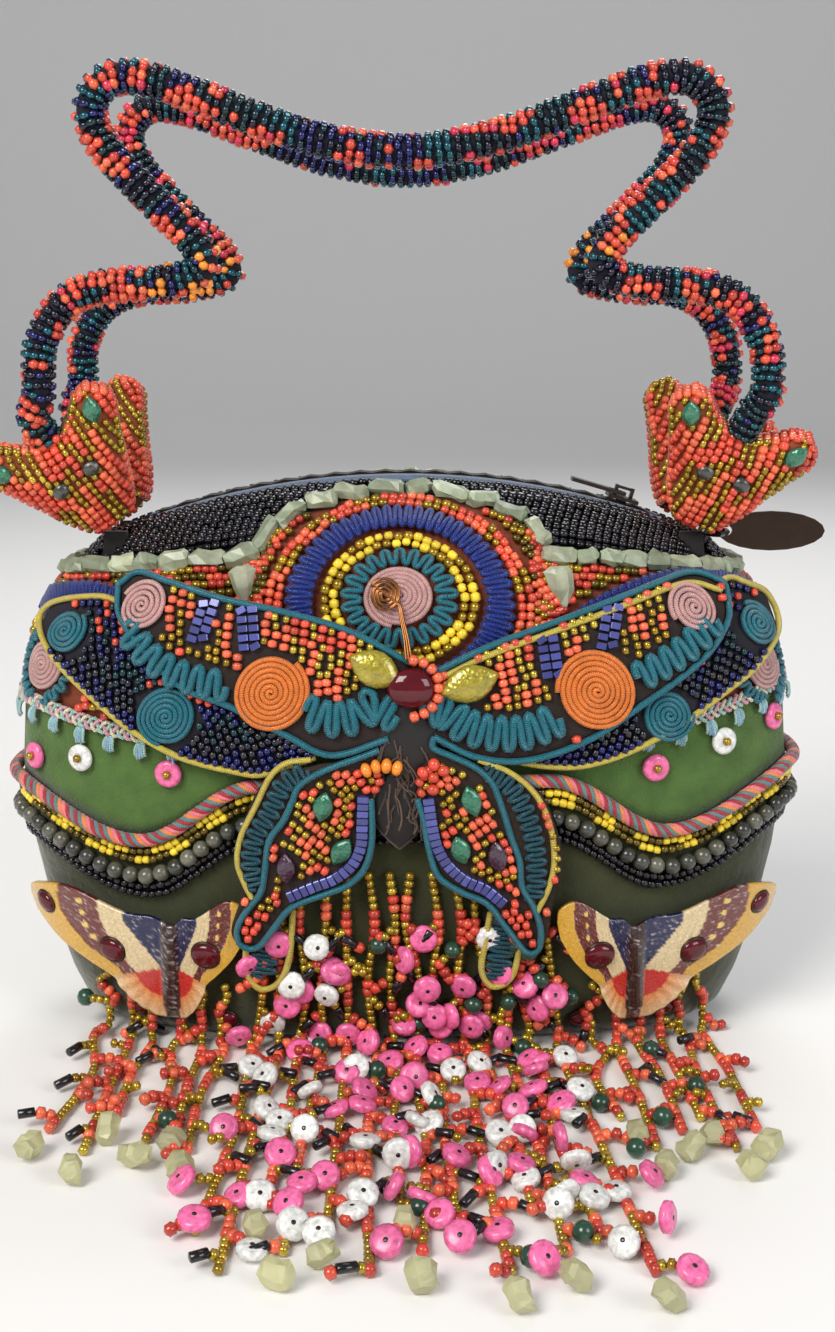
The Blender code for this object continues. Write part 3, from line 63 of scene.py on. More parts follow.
def screen(red: float, green: float, blue: float, metallic: float = 0.0) -> Array:
    """A colour as it shows, 0 to 255, made linear, with its share of metal as the fourth value.

    Args:
        red, green, blue: the colour as it shows on screen.
        metallic: how much of the surface is bare metal or foil, 0 to 1.

    Returns:
        Four linear values.
    """
    shown = np.array((red, green, blue), float) / 255
    linear = np.where(shown <= 0.04045, shown / 12.92, ((shown + 0.055) / 1.055) ** 2.4)
    return np.append(linear, metallic)


class Tint(Enum):
    """Colours of the beads, cords and stones, as screen() takes them."""

    CORAL = (206, 72, 50)
    CORAL_PALE = (224, 100, 66)
    CORAL_DEEP = (184, 56, 42)
    GOLD = (160, 128, 30, 0.55)
    GOLD_DARK = (100, 82, 20, 0.55)
    GOLD_LIGHT = (182, 156, 52, 0.6)
    NAVY = (24, 26, 84, 0.35)
    NAVY_DARK = (16, 18, 40, 0.2)
    TEAL_METAL = (24, 82, 94, 0.55)
    TEAL_DARK = (16, 46, 54, 0.4)
    AMBER = (236, 142, 46)
    RASPBERRY = (196, 44, 72)
    BLACK = (10, 9, 12)
    BLACK_SHEEN = (22, 20, 28)
    YELLOW = (230, 200, 48)
    YELLOW_CORD = (206, 186, 78)
    TEAL_CORD = (20, 108, 124)
    TEAL_CORD_DARK = (12, 72, 86)
    BLUE_CORD = (16, 42, 126)
    MAUVE = (206, 158, 154)
    ORANGE_CORD = (232, 126, 48)
    PERIWINKLE = (72, 76, 140, 0.2)
    GREY_STONE = (86, 86, 74)
    GREY_DARK = (52, 54, 48)
    PALE_STONE = (176, 188, 158)
    PALE_LIGHT = (198, 206, 176)
    NUGGET = (214, 212, 168)
    PINK = (230, 104, 156)
    WHITE = (220, 220, 216)
    GREEN_BEAD = (34, 66, 50)
    GREEN_FOIL = (46, 116, 88, 0.35)
    YELLOW_FOIL = (160, 146, 40, 0.35)
    PURPLE_GLASS = (54, 26, 50)
    RUBY = (84, 6, 20)
    BROWN_CLOTH = (84, 60, 44)
    # Near-black backing under the frayed threads: partly the cloth's own dark colour, partly painted shade
    # between the threads.
    DARK_CLOTH_AND_SHADE = (17, 12, 10)
    ROPE_RED = (160, 38, 46)
    ROPE_PINK = (226, 118, 128)
    ROPE_ORANGE = (222, 128, 72)
    ROPE_TEAL = (92, 124, 124)
    BRAID_PINK = (226, 166, 182)
    BRAID_MINT = (168, 208, 196)
    BRAID_CREAM = (232, 222, 196)
    TUFT_BLUE = (150, 188, 208)
    COPPER = (140, 92, 56, 1.0)

    def rgba(self) -> Array:
        """The colour as four linear values."""
        return screen(*self.value)


BLACK_MIX = (Tint.BLACK, Tint.BLACK_SHEEN)
YELLOW_MIX = (Tint.YELLOW, Tint.GOLD)
HEAD_MIX = (Tint.CORAL, Tint.CORAL_PALE, Tint.GOLD)
WING_MIX = (Tint.CORAL, Tint.GOLD, Tint.CORAL_PALE, Tint.GOLD_LIGHT)


def palette(*tints: Tint) -> Array:
    """The colours of several tints, one row each."""
    return np.array([tint.rgba() for tint in tints])


def vary(rng: Rng, tints: Array, spread: float) -> Array:
    """Each row made a little lighter or darker: its colour times e to a normal draw.

    Args:
        rng: source of the draws.
        tints: colours (count, 4).
        spread: standard deviation of the draw.

    Returns:
        The varied colours.
    """
    result = tints.copy()
    result[:, :3] = np.clip(result[:, :3] * np.exp(rng.normal(0, spread, (len(tints), 1))), 0, 1)
    return result


def shades(rng: Rng, tint: Tint, spread: float, count: int = 1) -> Array:
    """One tint for each of a count of things, each a little lighter or darker."""
    return vary(rng, palette(*[tint] * count), spread)


# Directions and distances

def unit(vectors: Array) -> Array:
    """Vectors divided by their lengths."""
    length = np.linalg.norm(vectors, axis=-1, keepdims=True)
    return vectors / np.maximum(length, 1e-9)


def headings(points: Array, closed: bool = False) -> Array:
    """The direction along a line at each of its points."""
    return unit(np.roll(points, -1, 0) - np.roll(points, 1, 0) if closed else np.gradient(points, axis=0))


def walk_lengths(points: Array) -> Array:
    """Distance walked along a line at each of its points."""
    return np.concatenate(([0.0], np.cumsum(np.linalg.norm(np.diff(points, axis=0), axis=1))))


def look_up(at: Array, places: Array, table: Array) -> Array:
    """Rows between the rows of a table, which stand at rising places."""
    return np.stack([np.interp(at, places, column) for column in table.T], axis=1)


# Meshes gathered from many small shapes

def cap_quads(first: int, sides: int, reverse: bool) -> Array:
    """Quads that fan from the first corner of an even ring to close it."""
    middle = np.arange(1, sides // 2)
    fan = np.stack((np.zeros(len(middle), int), 2 * middle - 1, 2 * middle, 2 * middle + 1), axis=1)
    return first + (fan[:, ::-1] if reverse else fan)


def tube_quads(rings: int, sides: int, closed: bool) -> Array:
    """Quads of a tube of rings, with both ends closed by fans unless it runs into itself."""
    ring = np.arange(rings if closed else rings - 1)[:, None]
    side = np.arange(sides)[None, :]
    after, ahead = (side + 1) % sides, (ring + 1) % rings
    quads = np.stack((ring * sides + side, ring * sides + after,
                      ahead * sides + after, ahead * sides + side), axis=-1).reshape(-1, 4)
    if closed:
        return quads
    return np.concatenate((quads, cap_quads(0, sides, True), cap_quads((rings - 1) * sides, sides, False)))


@dataclass
class Shape:
    """A small closed shape: points as (along, across, up) shares of its size, and quads."""

    points: Array
    quads: Array


def turned_shape(profile: list[tuple[float, float]], sides: int, start: float = 0.0) -> Shape:
    """A shape turned round its own long axis.

    Formula: ring i holds the points (a_i, r_i cos t, r_i sin t) for sides even steps of t.

    Args:
        profile: (place along the axis, radius) from one end to the other.
        sides: how many corners each ring has.
        start: the turn of the first corner.

    Returns:
        The closed shape.
    """
    turn = start + np.linspace(0, TAU, sides, endpoint=False)
    rings = [np.stack((np.full(sides, place), radius * np.cos(turn), radius * np.sin(turn)), axis=1)
             for place, radius in profile]
    return Shape(np.concatenate(rings), tube_quads(len(profile), sides, False))


SEED = turned_shape([(-0.5, 0.18), (-0.3, 0.46), (0.3, 0.46), (0.5, 0.18)], 6)
RING_SEED = turned_shape([(-0.5, 0.26), (0.0, 0.5), (0.5, 0.26)], 6)
ROUND = turned_shape([(-0.5, 0.12), (-0.38, 0.34), (-0.15, 0.48), (0.15, 0.48), (0.38, 0.34),
                      (0.5, 0.12)], 10)
BUGLE = turned_shape([(-0.5, 0.34), (-0.46, 0.46), (0.46, 0.46), (0.5, 0.34)], 8)
DISC = turned_shape([(-0.5, 0.1), (-0.5, 0.36), (-0.28, 0.5), (0.28, 0.5), (0.5, 0.36), (0.5, 0.1)], 14)
CHIP = turned_shape([(-0.5, 0.38), (-0.3, 0.52), (0.1, 0.48), (0.36, 0.5), (0.5, 0.34)], 6)
POINTED = turned_shape([(-0.5, 0.3), (-0.36, 0.5), (0.0, 0.4), (0.4, 0.14), (0.5, 0.05)], 6)
BOX = turned_shape([(-0.5, 0.54), (-0.42, 0.66), (0.42, 0.66), (0.5, 0.54)], 4, math.pi / 4)
STUD = turned_shape([(-0.5, 0.3), (-0.5, 0.42), (-0.2, 0.5), (0.2, 0.5), (0.46, 0.4), (0.5, 0.26),
                     (0.36, 0.12)], 24)
DOME = turned_shape([(-0.5, 0.47), (0.0, 0.5), (0.24, 0.43), (0.4, 0.28), (0.48, 0.12), (0.5, 0.03)], 20)


def navette(shape: Shape) -> Shape:
    """A round shape drawn to a point at both ends: across times its own share of the radius."""
    points = shape.points.copy()
    radius = np.hypot(points[:, 1], points[:, 2])
    points[:, 1] *= np.abs(points[:, 1]) / radius
    return Shape(points, shape.quads)


NAVETTE = navette(DOME)


def new_object(name: str, data: bpy.types.ID) -> bpy.types.Object:
    """An object in the scene that holds a mesh, a camera or a lamp."""
    thing = bpy.data.objects.new(name, data)
    bpy.context.scene.collection.objects.link(thing)
    return thing


@dataclass
class Heap:
    """Quads gathered for one finish, with a tint and a distance along the cord at each point."""

    points: list[Array] = field(default_factory=list)
    quads: list[Array] = field(default_factory=list)
    tints: list[Array] = field(default_factory=list)
    reaches: list[Array] = field(default_factory=list)
    count: int = 0

    def add(self, points: Array, quads: Array, tint: Array,
            reach: Array | float = 0.0) -> None:
        """Add one mesh.

        Args:
            points: places in millimetres (count, 3).
            quads: corners (count, 4), counted from the first of these points.
            tint: one colour, or one for each point.
            reach: distance along the cord, one for each point or one for all.
        """
        number = len(points)
        self.points.append(points)
        self.quads.append(quads + self.count)
        self.tints.append(np.broadcast_to(tint, (number, 4)))
        self.reaches.append(np.broadcast_to(reach, (number,)))
        self.count += number

    def scatter(self, shape: Shape, centre: Array, along: Array, up: Array,
                size: Array, tints: Array) -> None:
        """Add a copy of a shape at each place.

        Formula: point = centre + size * (a along + b across + c up), across = up x along.

        Args:
            shape: what is repeated.
            centre: its places (count, 3).
            along: the direction of its long axis at each place.
            up: roughly the direction away from the surface at each place.
            size: (length, width, height) for all or for each.
            tints: a colour for each.
        """
        if len(centre) == 0:
            return
        along = unit(np.broadcast_to(along, centre.shape))
        across = unit(np.cross(np.broadcast_to(up, centre.shape), along))
        up = np.cross(along, across)
        size = np.broadcast_to(size, centre.shape)
        axes = np.stack((along * size[:, :1], across * size[:, 1:2], up * size[:, 2:]), axis=1)
        points = centre[:, None] + np.einsum("kj,njc->nkc", shape.points, axes)
        quads = shape.quads[None] + (np.arange(len(centre)) * len(shape.points))[:, None, None]
        tints = np.repeat(np.broadcast_to(tints, (len(centre), 4)), len(shape.points), axis=0)
        self.add(points.reshape(-1, 3), quads.reshape(-1, 4), tints)

    def sweep(self, path: Array, up: Array, radius: Array | float, tint: Array,
              sides: int = 6, flat: float = 1.0, closed: bool = False) -> None:
        """Add a cord along a path.

        Formula: ring i = path_i + r (across cos t + flat up sin t) for even steps of t.

        Args:
            path: its middle line (count, 3).
            up: the direction away from what it lies on, for all or for each.
            radius: half its width, for all or for each point of the path.
            tint: one colour, or one for each point of the path.
            sides: corners of its section, an even number.
            flat: its height as a share of its width.
            closed: whether its end runs into its start.
        """
        along = headings(path, closed)
        across = unit(np.cross(np.broadcast_to(up, path.shape), along))
        over = np.cross(along, across)
        turn = np.linspace(0, TAU, sides, endpoint=False)[None, :, None]
        section = across[:, None] * np.cos(turn) + over[:, None] * np.sin(turn) * flat
        points = path[:, None] + section * np.broadcast_to(radius, (len(path),))[:, None, None]
        tints = np.repeat(np.broadcast_to(tint, (len(path), 4)), sides, axis=0)
        self.add(points.reshape(-1, 3), tube_quads(len(path), sides, closed), tints,
                 np.repeat(walk_lengths(path), sides))

    def cord(self, line: "Course", radius: Array | float, tint: Array, **shape: object) -> None:
        """Add a cord along a course, with its section given as for a sweep."""
        self.sweep(line.points, line.up, radius, tint, **shape)

    def plate(self, outer: Array, inner: Array, tint: Array, wraps: bool = False) -> None:
        """Add a plate between two grids.

        Formula: each row of both grids makes one ring of a flat tube, outer points then inner ones.

        Args:
            outer: the face that shows (columns, rows, 3).
            inner: the face below it, of the same shape.
            tint: one colour, or one for each point of the outer grid.
            wraps: whether the last column runs into the first.
        """
        columns, rows, _ = outer.shape
        rings = np.concatenate((outer, inner[:, ::-1]), axis=1)
        tints = np.broadcast_to(tint, (columns, rows, 4))
        tints = np.concatenate((tints, tints[:, ::-1]), axis=1).reshape(-1, 4)
        quads = tube_quads(columns, 2 * rows, wraps)
        if not wraps:
            sides = (columns - 1) * 2 * rows
            pair = np.arange(rows - 1)
            end = np.stack((pair, pair + 1, 2 * rows - 2 - pair, 2 * rows - 1 - pair), axis=1)
            quads = np.concatenate((quads[:sides], end[:, ::-1], end + (columns - 1) * 2 * rows))
        points = rings.reshape(-1, 3)
        corners = points[quads]
        volume = (np.einsum("ij,ij->i", corners[:, 0], np.cross(corners[:, 1], corners[:, 2]))
                  + np.einsum("ij,ij->i", corners[:, 0], np.cross(corners[:, 2], corners[:, 3]))).sum()
        self.add(points, quads if volume > 0 else quads[:, ::-1], tints)

    def make(self, name: str, material: bpy.types.Material, flat: bool = False) -> bpy.types.Object:
        """Make the object that holds everything gathered.

        Args:
            name: the object's name.
            material: its material.
            flat: whether its faces show as facets.

        Returns:
            The object, at the origin.
        """
        mesh = bpy.data.meshes.new(name)
        quads = np.concatenate(self.quads)
        mesh.vertices.add(self.count)
        mesh.vertices.foreach_set("co", (np.concatenate(self.points) * MM).astype(np.float32).ravel())
        mesh.loops.add(quads.size)
        mesh.loops.foreach_set("vertex_index", quads.astype(np.int32).ravel())
        mesh.polygons.add(len(quads))
        mesh.polygons.foreach_set("loop_start", np.arange(0, quads.size, 4, dtype=np.int32))
        mesh.update(calc_edges=True)
        tint = mesh.attributes.new("tint", "FLOAT_COLOR", "POINT")
        tint.data.foreach_set("color", np.concatenate(self.tints).astype(np.float32).ravel())
        along = mesh.attributes.new("along", "FLOAT", "POINT")
        along.data.foreach_set("value", np.concatenate(self.reaches).astype(np.float32))
        mesh.polygons.foreach_set("use_smooth", np.full(len(quads), not flat))
        mesh.materials.append(material)
        return new_object(name, mesh)


# Lines

def smooth_line(points: Array | list, step: float, closed: bool = False) -> Array:
    """Even points on a smooth curve through the given ones.

    Formula: a Catmull-Rom curve, cut into pieces of the same length.

    Args:
        points: what the curve passes through (count, 2 or 3).
        step: distance from point to point.
        closed: whether the curve returns to its start.

    Returns:
        The even points.
    """
    points = np.asarray(points, float)
    if closed:
        padded = np.concatenate((points[-1:], points, points[:2]))
    else:
        padded = np.concatenate((2 * points[:1] - points[1:2], points, 2 * points[-1:] - points[-2:-1]))
    share = np.linspace(0, 1, 10, endpoint=False)[None, :, None]
    a, b, c, d = (padded[k:len(padded) - 3 + k, None] for k in range(4))
    bend = (2 * a - 5 * b + 4 * c - d) * share ** 2 + (3 * b - a - 3 * c + d) * share ** 3
    dense = ((2 * b + (c - a) * share + bend) / 2).reshape(-1, points.shape[1])
    dense = np.concatenate((dense, padded[-2:-1]))
    walked = walk_lengths(dense)
    count = max(2, round(walked[-1] / step) + 1)
    even = np.linspace(0, walked[-1], count)
    return look_up(even, walked, dense)


@dataclass
class Course:
    """Points along a line on the surface, with the directions along it and away from the surface."""

    points: Array
    along: Array
    up: Array

    def pick(self, keep: Array) -> "Course":
        """The course with only the points that a mask or a list of indices keeps."""
        return Course(self.points[keep], self.along[keep], self.up[keep])

    def back(self) -> "Course":
        """The same course on the back: turned half round about the vertical."""
        half = np.array((-1.0, -1.0, 1.0))
        return Course(self.points * half, self.along * half, self.up * half)

    def across(self) -> Array:
        """The direction across the line, along the surface."""
        return unit(np.cross(self.up, self.along))


def course(points: Array, up: Array, closed: bool = False) -> Course:
    """A course from its points and the surface's directions there."""
    return Course(points, headings(points, closed), up)


def even_course(line: Course, pitch: float, closed: bool = False) -> Course:
    """The course again, with its points a pitch apart."""
    points, up = (np.concatenate((v, v[:1])) if closed else v for v in (line.points, line.up))
    walked = walk_lengths(points)
    count = max(2, round(walked[-1] / pitch))
    even = np.linspace(0, walked[-1], count + 1)[:count + (not closed)]
    return course(look_up(even, walked, points), unit(look_up(even, walked, up)), closed)


# The body

ROUND_ANGLES = np.linspace(0, TAU, 720, endpoint=False)


@dataclass(frozen=True)
class Body:
    """The bag's smooth surface: superellipse girths whose half axes change with height."""

    half_width: float = 115.5
    half_depth: float = 44.0
    power: float = 2.5
    crest: float = 165.0
    crest_radius: float = 228.0
    mouth: tuple[float, float] = (85.0, 9.0)
    base: tuple[float, float] = (92.0, 32.0)
    rim_height: float = 145.5
    rim_fall: float = 0.35
    arch_half_width: float = 43.0
    arch_top: float = 161.0
    lean: float = 0.02
    top: int = 11
    widest: float = 5.0

    def stations(self) -> Array:
        """Height, half width, half depth and share of the crest's fall, from base to mouth."""
        shares = np.array((
            (0.000, self.base[0] / self.half_width, self.base[1] / self.half_depth, 0.00),
            (0.030, 0.857, 0.830, 0.00), (0.091, 0.896, 0.886, 0.00), (0.182, 0.935, 0.932, 0.00),
            (0.333, 0.978, 0.977, 0.00), (0.485, 1.000, 1.000, 0.00), (0.606, 0.987, 0.989, 0.00),
            (0.727, 0.944, 0.932, 0.00), (0.836, 0.883, 0.818, 0.20), (0.921, 0.823, 0.614, 0.60),
            (0.976, 0.771, 0.386, 0.85),
            (0.9965, self.mouth[0] / self.half_width, self.mouth[1] / self.half_depth, 1.00)))
        return shares * (self.crest, self.half_width, self.half_depth, 1.0)

    def station(self, level: Array) -> list[Array]:
        """Height, half width, half depth and crest share at levels."""
        return [np.interp(level, np.arange(self.top + 1), column) for column in self.stations().T]

    def fall(self, x: Array) -> Array:
        """How far the crest's arc lies below its top at x."""
        return self.crest_radius - np.sqrt(np.maximum(self.crest_radius ** 2 - np.square(x), 0))

    def point(self, angle: Array, level: Array) -> Array:
        """The surface's point at an angle round the girth and a level.

        Formula: x and y are the half axes times the signed power 2/p of cosine and sine.
        """
        height, wide, deep, weight = self.station(level)
        cosine, sine = np.cos(angle), np.sin(angle)
        x = wide * np.sign(cosine) * np.abs(cosine) ** (2 / self.power)
        y = deep * np.sign(sine) * np.abs(sine) ** (2 / self.power)
        return np.stack(np.broadcast_arrays(x, y, height - weight * self.fall(x)), axis=-1)

    def normal(self, angle: Array, level: Array) -> Array:
        """The outward direction there, smoothed over half a station."""
        along = self.point(angle + 0.05, level) - self.point(angle - 0.05, level)
        rise = (self.point(angle, np.minimum(level + 0.5, self.top))
                - self.point(angle, np.maximum(level - 0.5, 0)))
        return unit(np.cross(along, rise))

    def over(self, angle: Array, level: Array, height: Array | float) -> Array:
        """A point a height above the surface."""
        return self.point(angle, level) + np.asarray(height)[..., None] * self.normal(angle, level)

    def halve(self, goal: Array, height: Callable[[Array], Array]) -> Array:
        """The level at which a height reaches its goal, found by halving.

        Args:
            goal: the heights looked for.
            height: gives the height at a level, and grows with it.

        Returns:
            The levels.
        """
        low, high = np.zeros(goal.shape), np.full(goal.shape, float(self.top))
        for _ in range(24):
            middle = (low + high) / 2
            below = height(middle) < goal
            low, high = np.where(below, middle, low), np.where(below, high, middle)
        return (low + high) / 2

    def level_at(self, angle: Array, z: Array) -> Array:
        """The level at which the surface at an angle has the height z."""
        angle, z = np.broadcast_arrays(angle, z)
        return self.halve(z, lambda level: self.point(angle, level)[..., 2])

    def place(self, x: Array, z: Array) -> tuple[Array, Array]:
        """Angle and level of the front's point seen at (x, z)."""
        x, z = np.broadcast_arrays(np.asarray(x, float), np.asarray(z, float))

        def height(level: Array) -> Array:
            """The surface's height at x, on a girth."""
            base, _, _, weight = self.station(level)
            return base - weight * self.fall(x)

        level = self.halve(z, height)
        share = np.clip(x / self.station(level)[1], -1, 1)
        return -np.arccos(np.sign(share) * np.abs(share) ** (self.power / 2)), level

    def front(self, x: Array, z: Array, height: Array | float) -> Array:
        """A point a height above the front, seen at (x, z)."""
        return self.over(*self.place(x, z), height)

    def front_course(self, flat: Array | tuple, height: Array | float) -> Course:
        """A course above the front through the flat places (count, 2)."""
        angle, level = self.place(*np.transpose(flat))
        return course(self.over(angle, level, height), self.normal(angle, level))

    def climb(self, angle: Array, level: Array, up: Array | float) -> Array:
        """The level reached by walking a distance up the surface from a level.

        Formula: the meridian at the angle is measured at 121 levels, and the distance is looked up.
        """
        angle, level, up = (np.ravel(v) for v in np.broadcast_arrays(angle, level, up))
        levels = np.linspace(0, self.top, 121)
        line = self.point(angle[:, None], levels[None, :])
        steps = np.linalg.norm(np.diff(line, axis=1), axis=2)
        climbed = np.concatenate((np.zeros((len(angle), 1)), np.cumsum(steps, axis=1)), axis=1)
        spot = level / levels[1]
        low = np.clip(spot.astype(int), 0, 119)
        row = np.arange(len(angle))
        goal = climbed[row, low] + (spot - low) * (climbed[row, low + 1] - climbed[row, low]) + up
        found = np.clip((climbed < goal[:, None]).sum(axis=1) - 1, 0, 119)
        span = climbed[row, found + 1] - climbed[row, found]
        share = np.clip((goal - climbed[row, found]) / np.maximum(span, 1e-9), 0, 1)
        return (found + share) * levels[1]

    def walk(self, x: float, z: float, along: Array, up: Array,
             height: Array | float) -> tuple[Array, Array]:
        """Points found by walking along the girth and then up the surface from its point (x, z).

        Args:
            x, z: the place on the front where the walk starts.
            along, up: the distances walked.
            height: the height above the surface.

        Returns:
            The points and the surface's directions there.
        """
        start_angle, start_level = (float(v) for v in self.place(x, z))
        angles = start_angle + np.linspace(-1.9, 1.9, 401)
        girth = walk_lengths(self.point(angles, start_level))
        along, up, height = np.broadcast_arrays(along, up, height)
        angle = np.interp(girth[200] + along, girth, angles)
        level = self.climb(angle, start_level, up).reshape(angle.shape)
        normal = self.normal(angle, level)
        return self.point(angle, level) + height[..., None] * normal, normal

    def girth_distance(self, angle: Array) -> Array:
        """Distance round the girth from the middle of the front or back."""
        turns = np.linspace(0, math.pi / 2, 91)
        walked = walk_lengths(self.point(turns, self.widest))
        folded = np.arcsin(np.clip(np.abs(np.sin(angle)), 0, 1))
        return walked[-1] - np.interp(folded, turns, walked)

    @staticmethod
    def wave(distance: Array, places: tuple, values: tuple) -> Array:
        """Cosine steps between values at distances, level before the first and past the last."""
        result = np.full(distance.shape, float(values[-1]))
        for start, end, first, last in zip(places, places[1:], values, values[1:]):
            share = np.clip((distance - start) / (end - start), 0, 1)
            step = first + (last - first) * (1 - np.cos(math.pi * share)) / 2
            result = np.where((distance >= start) & (distance < end), step, result)
        return result

    def tilt(self, angle: Array) -> Array:
        """How far the hand-sewn lines stand higher to the right."""
        return self.lean * self.point(angle, self.widest)[..., 0]

    def scallop(self, angle: Array) -> Array:
        """Height of the twisted cord's line round the girth."""
        distance = self.girth_distance(angle)
        return self.wave(distance, (0, 40, 77, 122), (83, 83, 66, 80)) + self.tilt(angle)

    def braid(self, angle: Array) -> Array:
        """Height of the gimp braid's line round the girth."""
        distance = self.girth_distance(angle)
        return self.wave(distance, (0, 66, 122), (100, 96, 104)) + self.tilt(angle)

    def rim(self, angle: Array) -> Array:
        """Height of the chip border's line: round the shoulders, rising over the middle."""
        x = self.point(angle, 8.0)[..., 0]
        shoulder = self.rim_height - self.rim_fall * self.fall(x)
        lift = np.sqrt(np.maximum(0, 1 - np.square(x / self.arch_half_width)))
        return shoulder + (self.arch_top - shoulder) * lift

    def ring(self, line: Callable[[Array], Array], drop: float, height: float,
             pitch: float) -> Course:
        """A closed course round the girth.

        Args:
            line: one of the girth's lines, as heights at angles.
            drop: how far below that line the course runs.
            height: its height above the surface.
            pitch: distance from point to point.

        Returns:
            The course.
        """
        level = self.level_at(ROUND_ANGLES, line(ROUND_ANGLES) - drop)
        points = self.over(ROUND_ANGLES, level, height)
        return even_course(course(points, self.normal(ROUND_ANGLES, level)), pitch, closed=True)


BODY = Body()


@dataclass(frozen=True)
class Patch:
    """A place on the front or back from which distances are walked, squashed in height."""

    x: float
    z: float
    squash: float = 1.0
    behind: bool = False
    depth_share: float = 0.8

    def course(self, radius: Array, turn: Array, height: Array | float,
               closed: bool = False) -> Course:
        """A course through polar places round the patch.

        Args:
            radius: distance from the middle.
            turn: angle from the right-hand side.
            height: height above the surface.
            closed: whether the course returns to its start.

        Returns:
            The course.
        """
        points, up = BODY.walk(self.x, self.z, radius * np.cos(turn),
                               radius * np.sin(turn) * self.squash, height)
        line = course(points, up, closed)
        return line.back() if self.behind else line

    def reach(self, points: Array) -> Array:
        """How far points lie from the patch's middle, with its squash undone.

        Formula: depth counts by its share, and a point on the bag's other side is endlessly far.
        """
        if self.behind:
            points = points * (-1, -1, 1)
        away = points - BODY.front(self.x, self.z, 0.0)
        rise = np.hypot(away[:, 2], away[:, 1] * self.depth_share)
        return np.where(points[:, 1] < 0, np.hypot(away[:, 0], rise / self.squash), np.inf)


# Shader nodes

def feed(tree: Tree, node: bpy.types.Node, inputs: dict) -> None:
    """Link sockets to a node's inputs, or set the inputs to values."""
    for key, value in inputs.items():
        if isinstance(value, bpy.types.NodeSocket):
            tree.links.new(value, node.inputs[key])
        else:
            node.inputs[key].default_value = value


def add_node(tree: Tree, kind: str, inputs: dict, **settings: object) -> bpy.types.Node:
    """A shader node with its settings made and its inputs fed."""
    node = tree.nodes.new(f"ShaderNode{kind}")
    for key, value in settings.items():
        setattr(node, key, value)
    feed(tree, node, inputs)
    return node


def math_node(tree: Tree, operation: str, *values: object) -> bpy.types.NodeSocket:
    """The result of a math node fed by sockets or numbers."""
    return add_node(tree, "Math", dict(enumerate(values)), operation=operation).outputs[0]


def noise_node(tree: Tree, scale: object, detail: float) -> bpy.types.NodeSocket:
    """A noise texture's value on Object coordinates."""
    node = add_node(tree, "TexNoise", {"Detail": detail, "Scale": scale})
    feed(tree, node, {"Vector": add_node(tree, "TexCoord", {}).outputs["Object"]})
    return node.outputs["Fac"]


def new_group(name: str, inputs: tuple[str, ...], output: str) -> tuple:
    """An empty shader node group; a socket called Color holds a colour, any other one a number.

    Args:
        name: the group's name.
        inputs: the names of its inputs.
        output: the name of its output.

    Returns:
        The group's tree, its input sockets and its output node.
    """
    tree = bpy.data.node_groups.new(name, "ShaderNodeTree")
    for way, labels in (("INPUT", inputs), ("OUTPUT", (output,))):
        for label in labels:
            kind = "NodeSocketColor" if label == "Color" else "NodeSocketFloat"
            tree.interface.new_socket(name=label, in_out=way, socket_type=kind)
    return tree, tree.nodes.new("NodeGroupInput").outputs, tree.nodes.new("NodeGroupOutput")


def build_groups() -> dict[str, Tree]:
    """The effects that several finishes share.

    Returns:
        shade (a colour made lighter and darker in patches), winding (ridges across a cord) and
        pile (the nap of cloth).
    """
    shade, start, end = new_group("shade", ("Color", "Scale", "Amount"), "Color")
    patches = math_node(shade, "SUBTRACT", noise_node(shade, start["Scale"], 3), 0.5)
    swing = math_node(shade, "MULTIPLY", patches, start["Amount"])
    gain = math_node(shade, "ADD", math_node(shade, "MULTIPLY", swing, 2.0), 1.0)
    scaled = add_node(shade, "VectorMath", {0: start["Color"], "Scale": gain}, operation="SCALE")
    feed(shade, end, {"Color": scaled.outputs[0]})

    winding, start, end = new_group("winding", ("Pitch",), "Height")
    along = add_node(winding, "Attribute", {}, attribute_name="along")
    phase = math_node(winding, "DIVIDE", along.outputs["Fac"], start["Pitch"])
    wave = math_node(winding, "SINE", math_node(winding, "MULTIPLY", phase, TAU))
    feed(winding, end, {"Height": math_node(winding, "ADD", math_node(winding, "MULTIPLY", wave, 0.5), 0.5)})

    pile, start, end = new_group("pile", ("Scale",), "Height")
    fine = noise_node(pile, start["Scale"], 4)
    coarse = noise_node(pile, math_node(pile, "MULTIPLY", start["Scale"], 0.12), 2)
    feed(pile, end, {"Height": math_node(pile, "ADD", fine, math_node(pile, "MULTIPLY", coarse, 1.5))})
    return {"shade": shade, "winding": winding, "pile": pile}


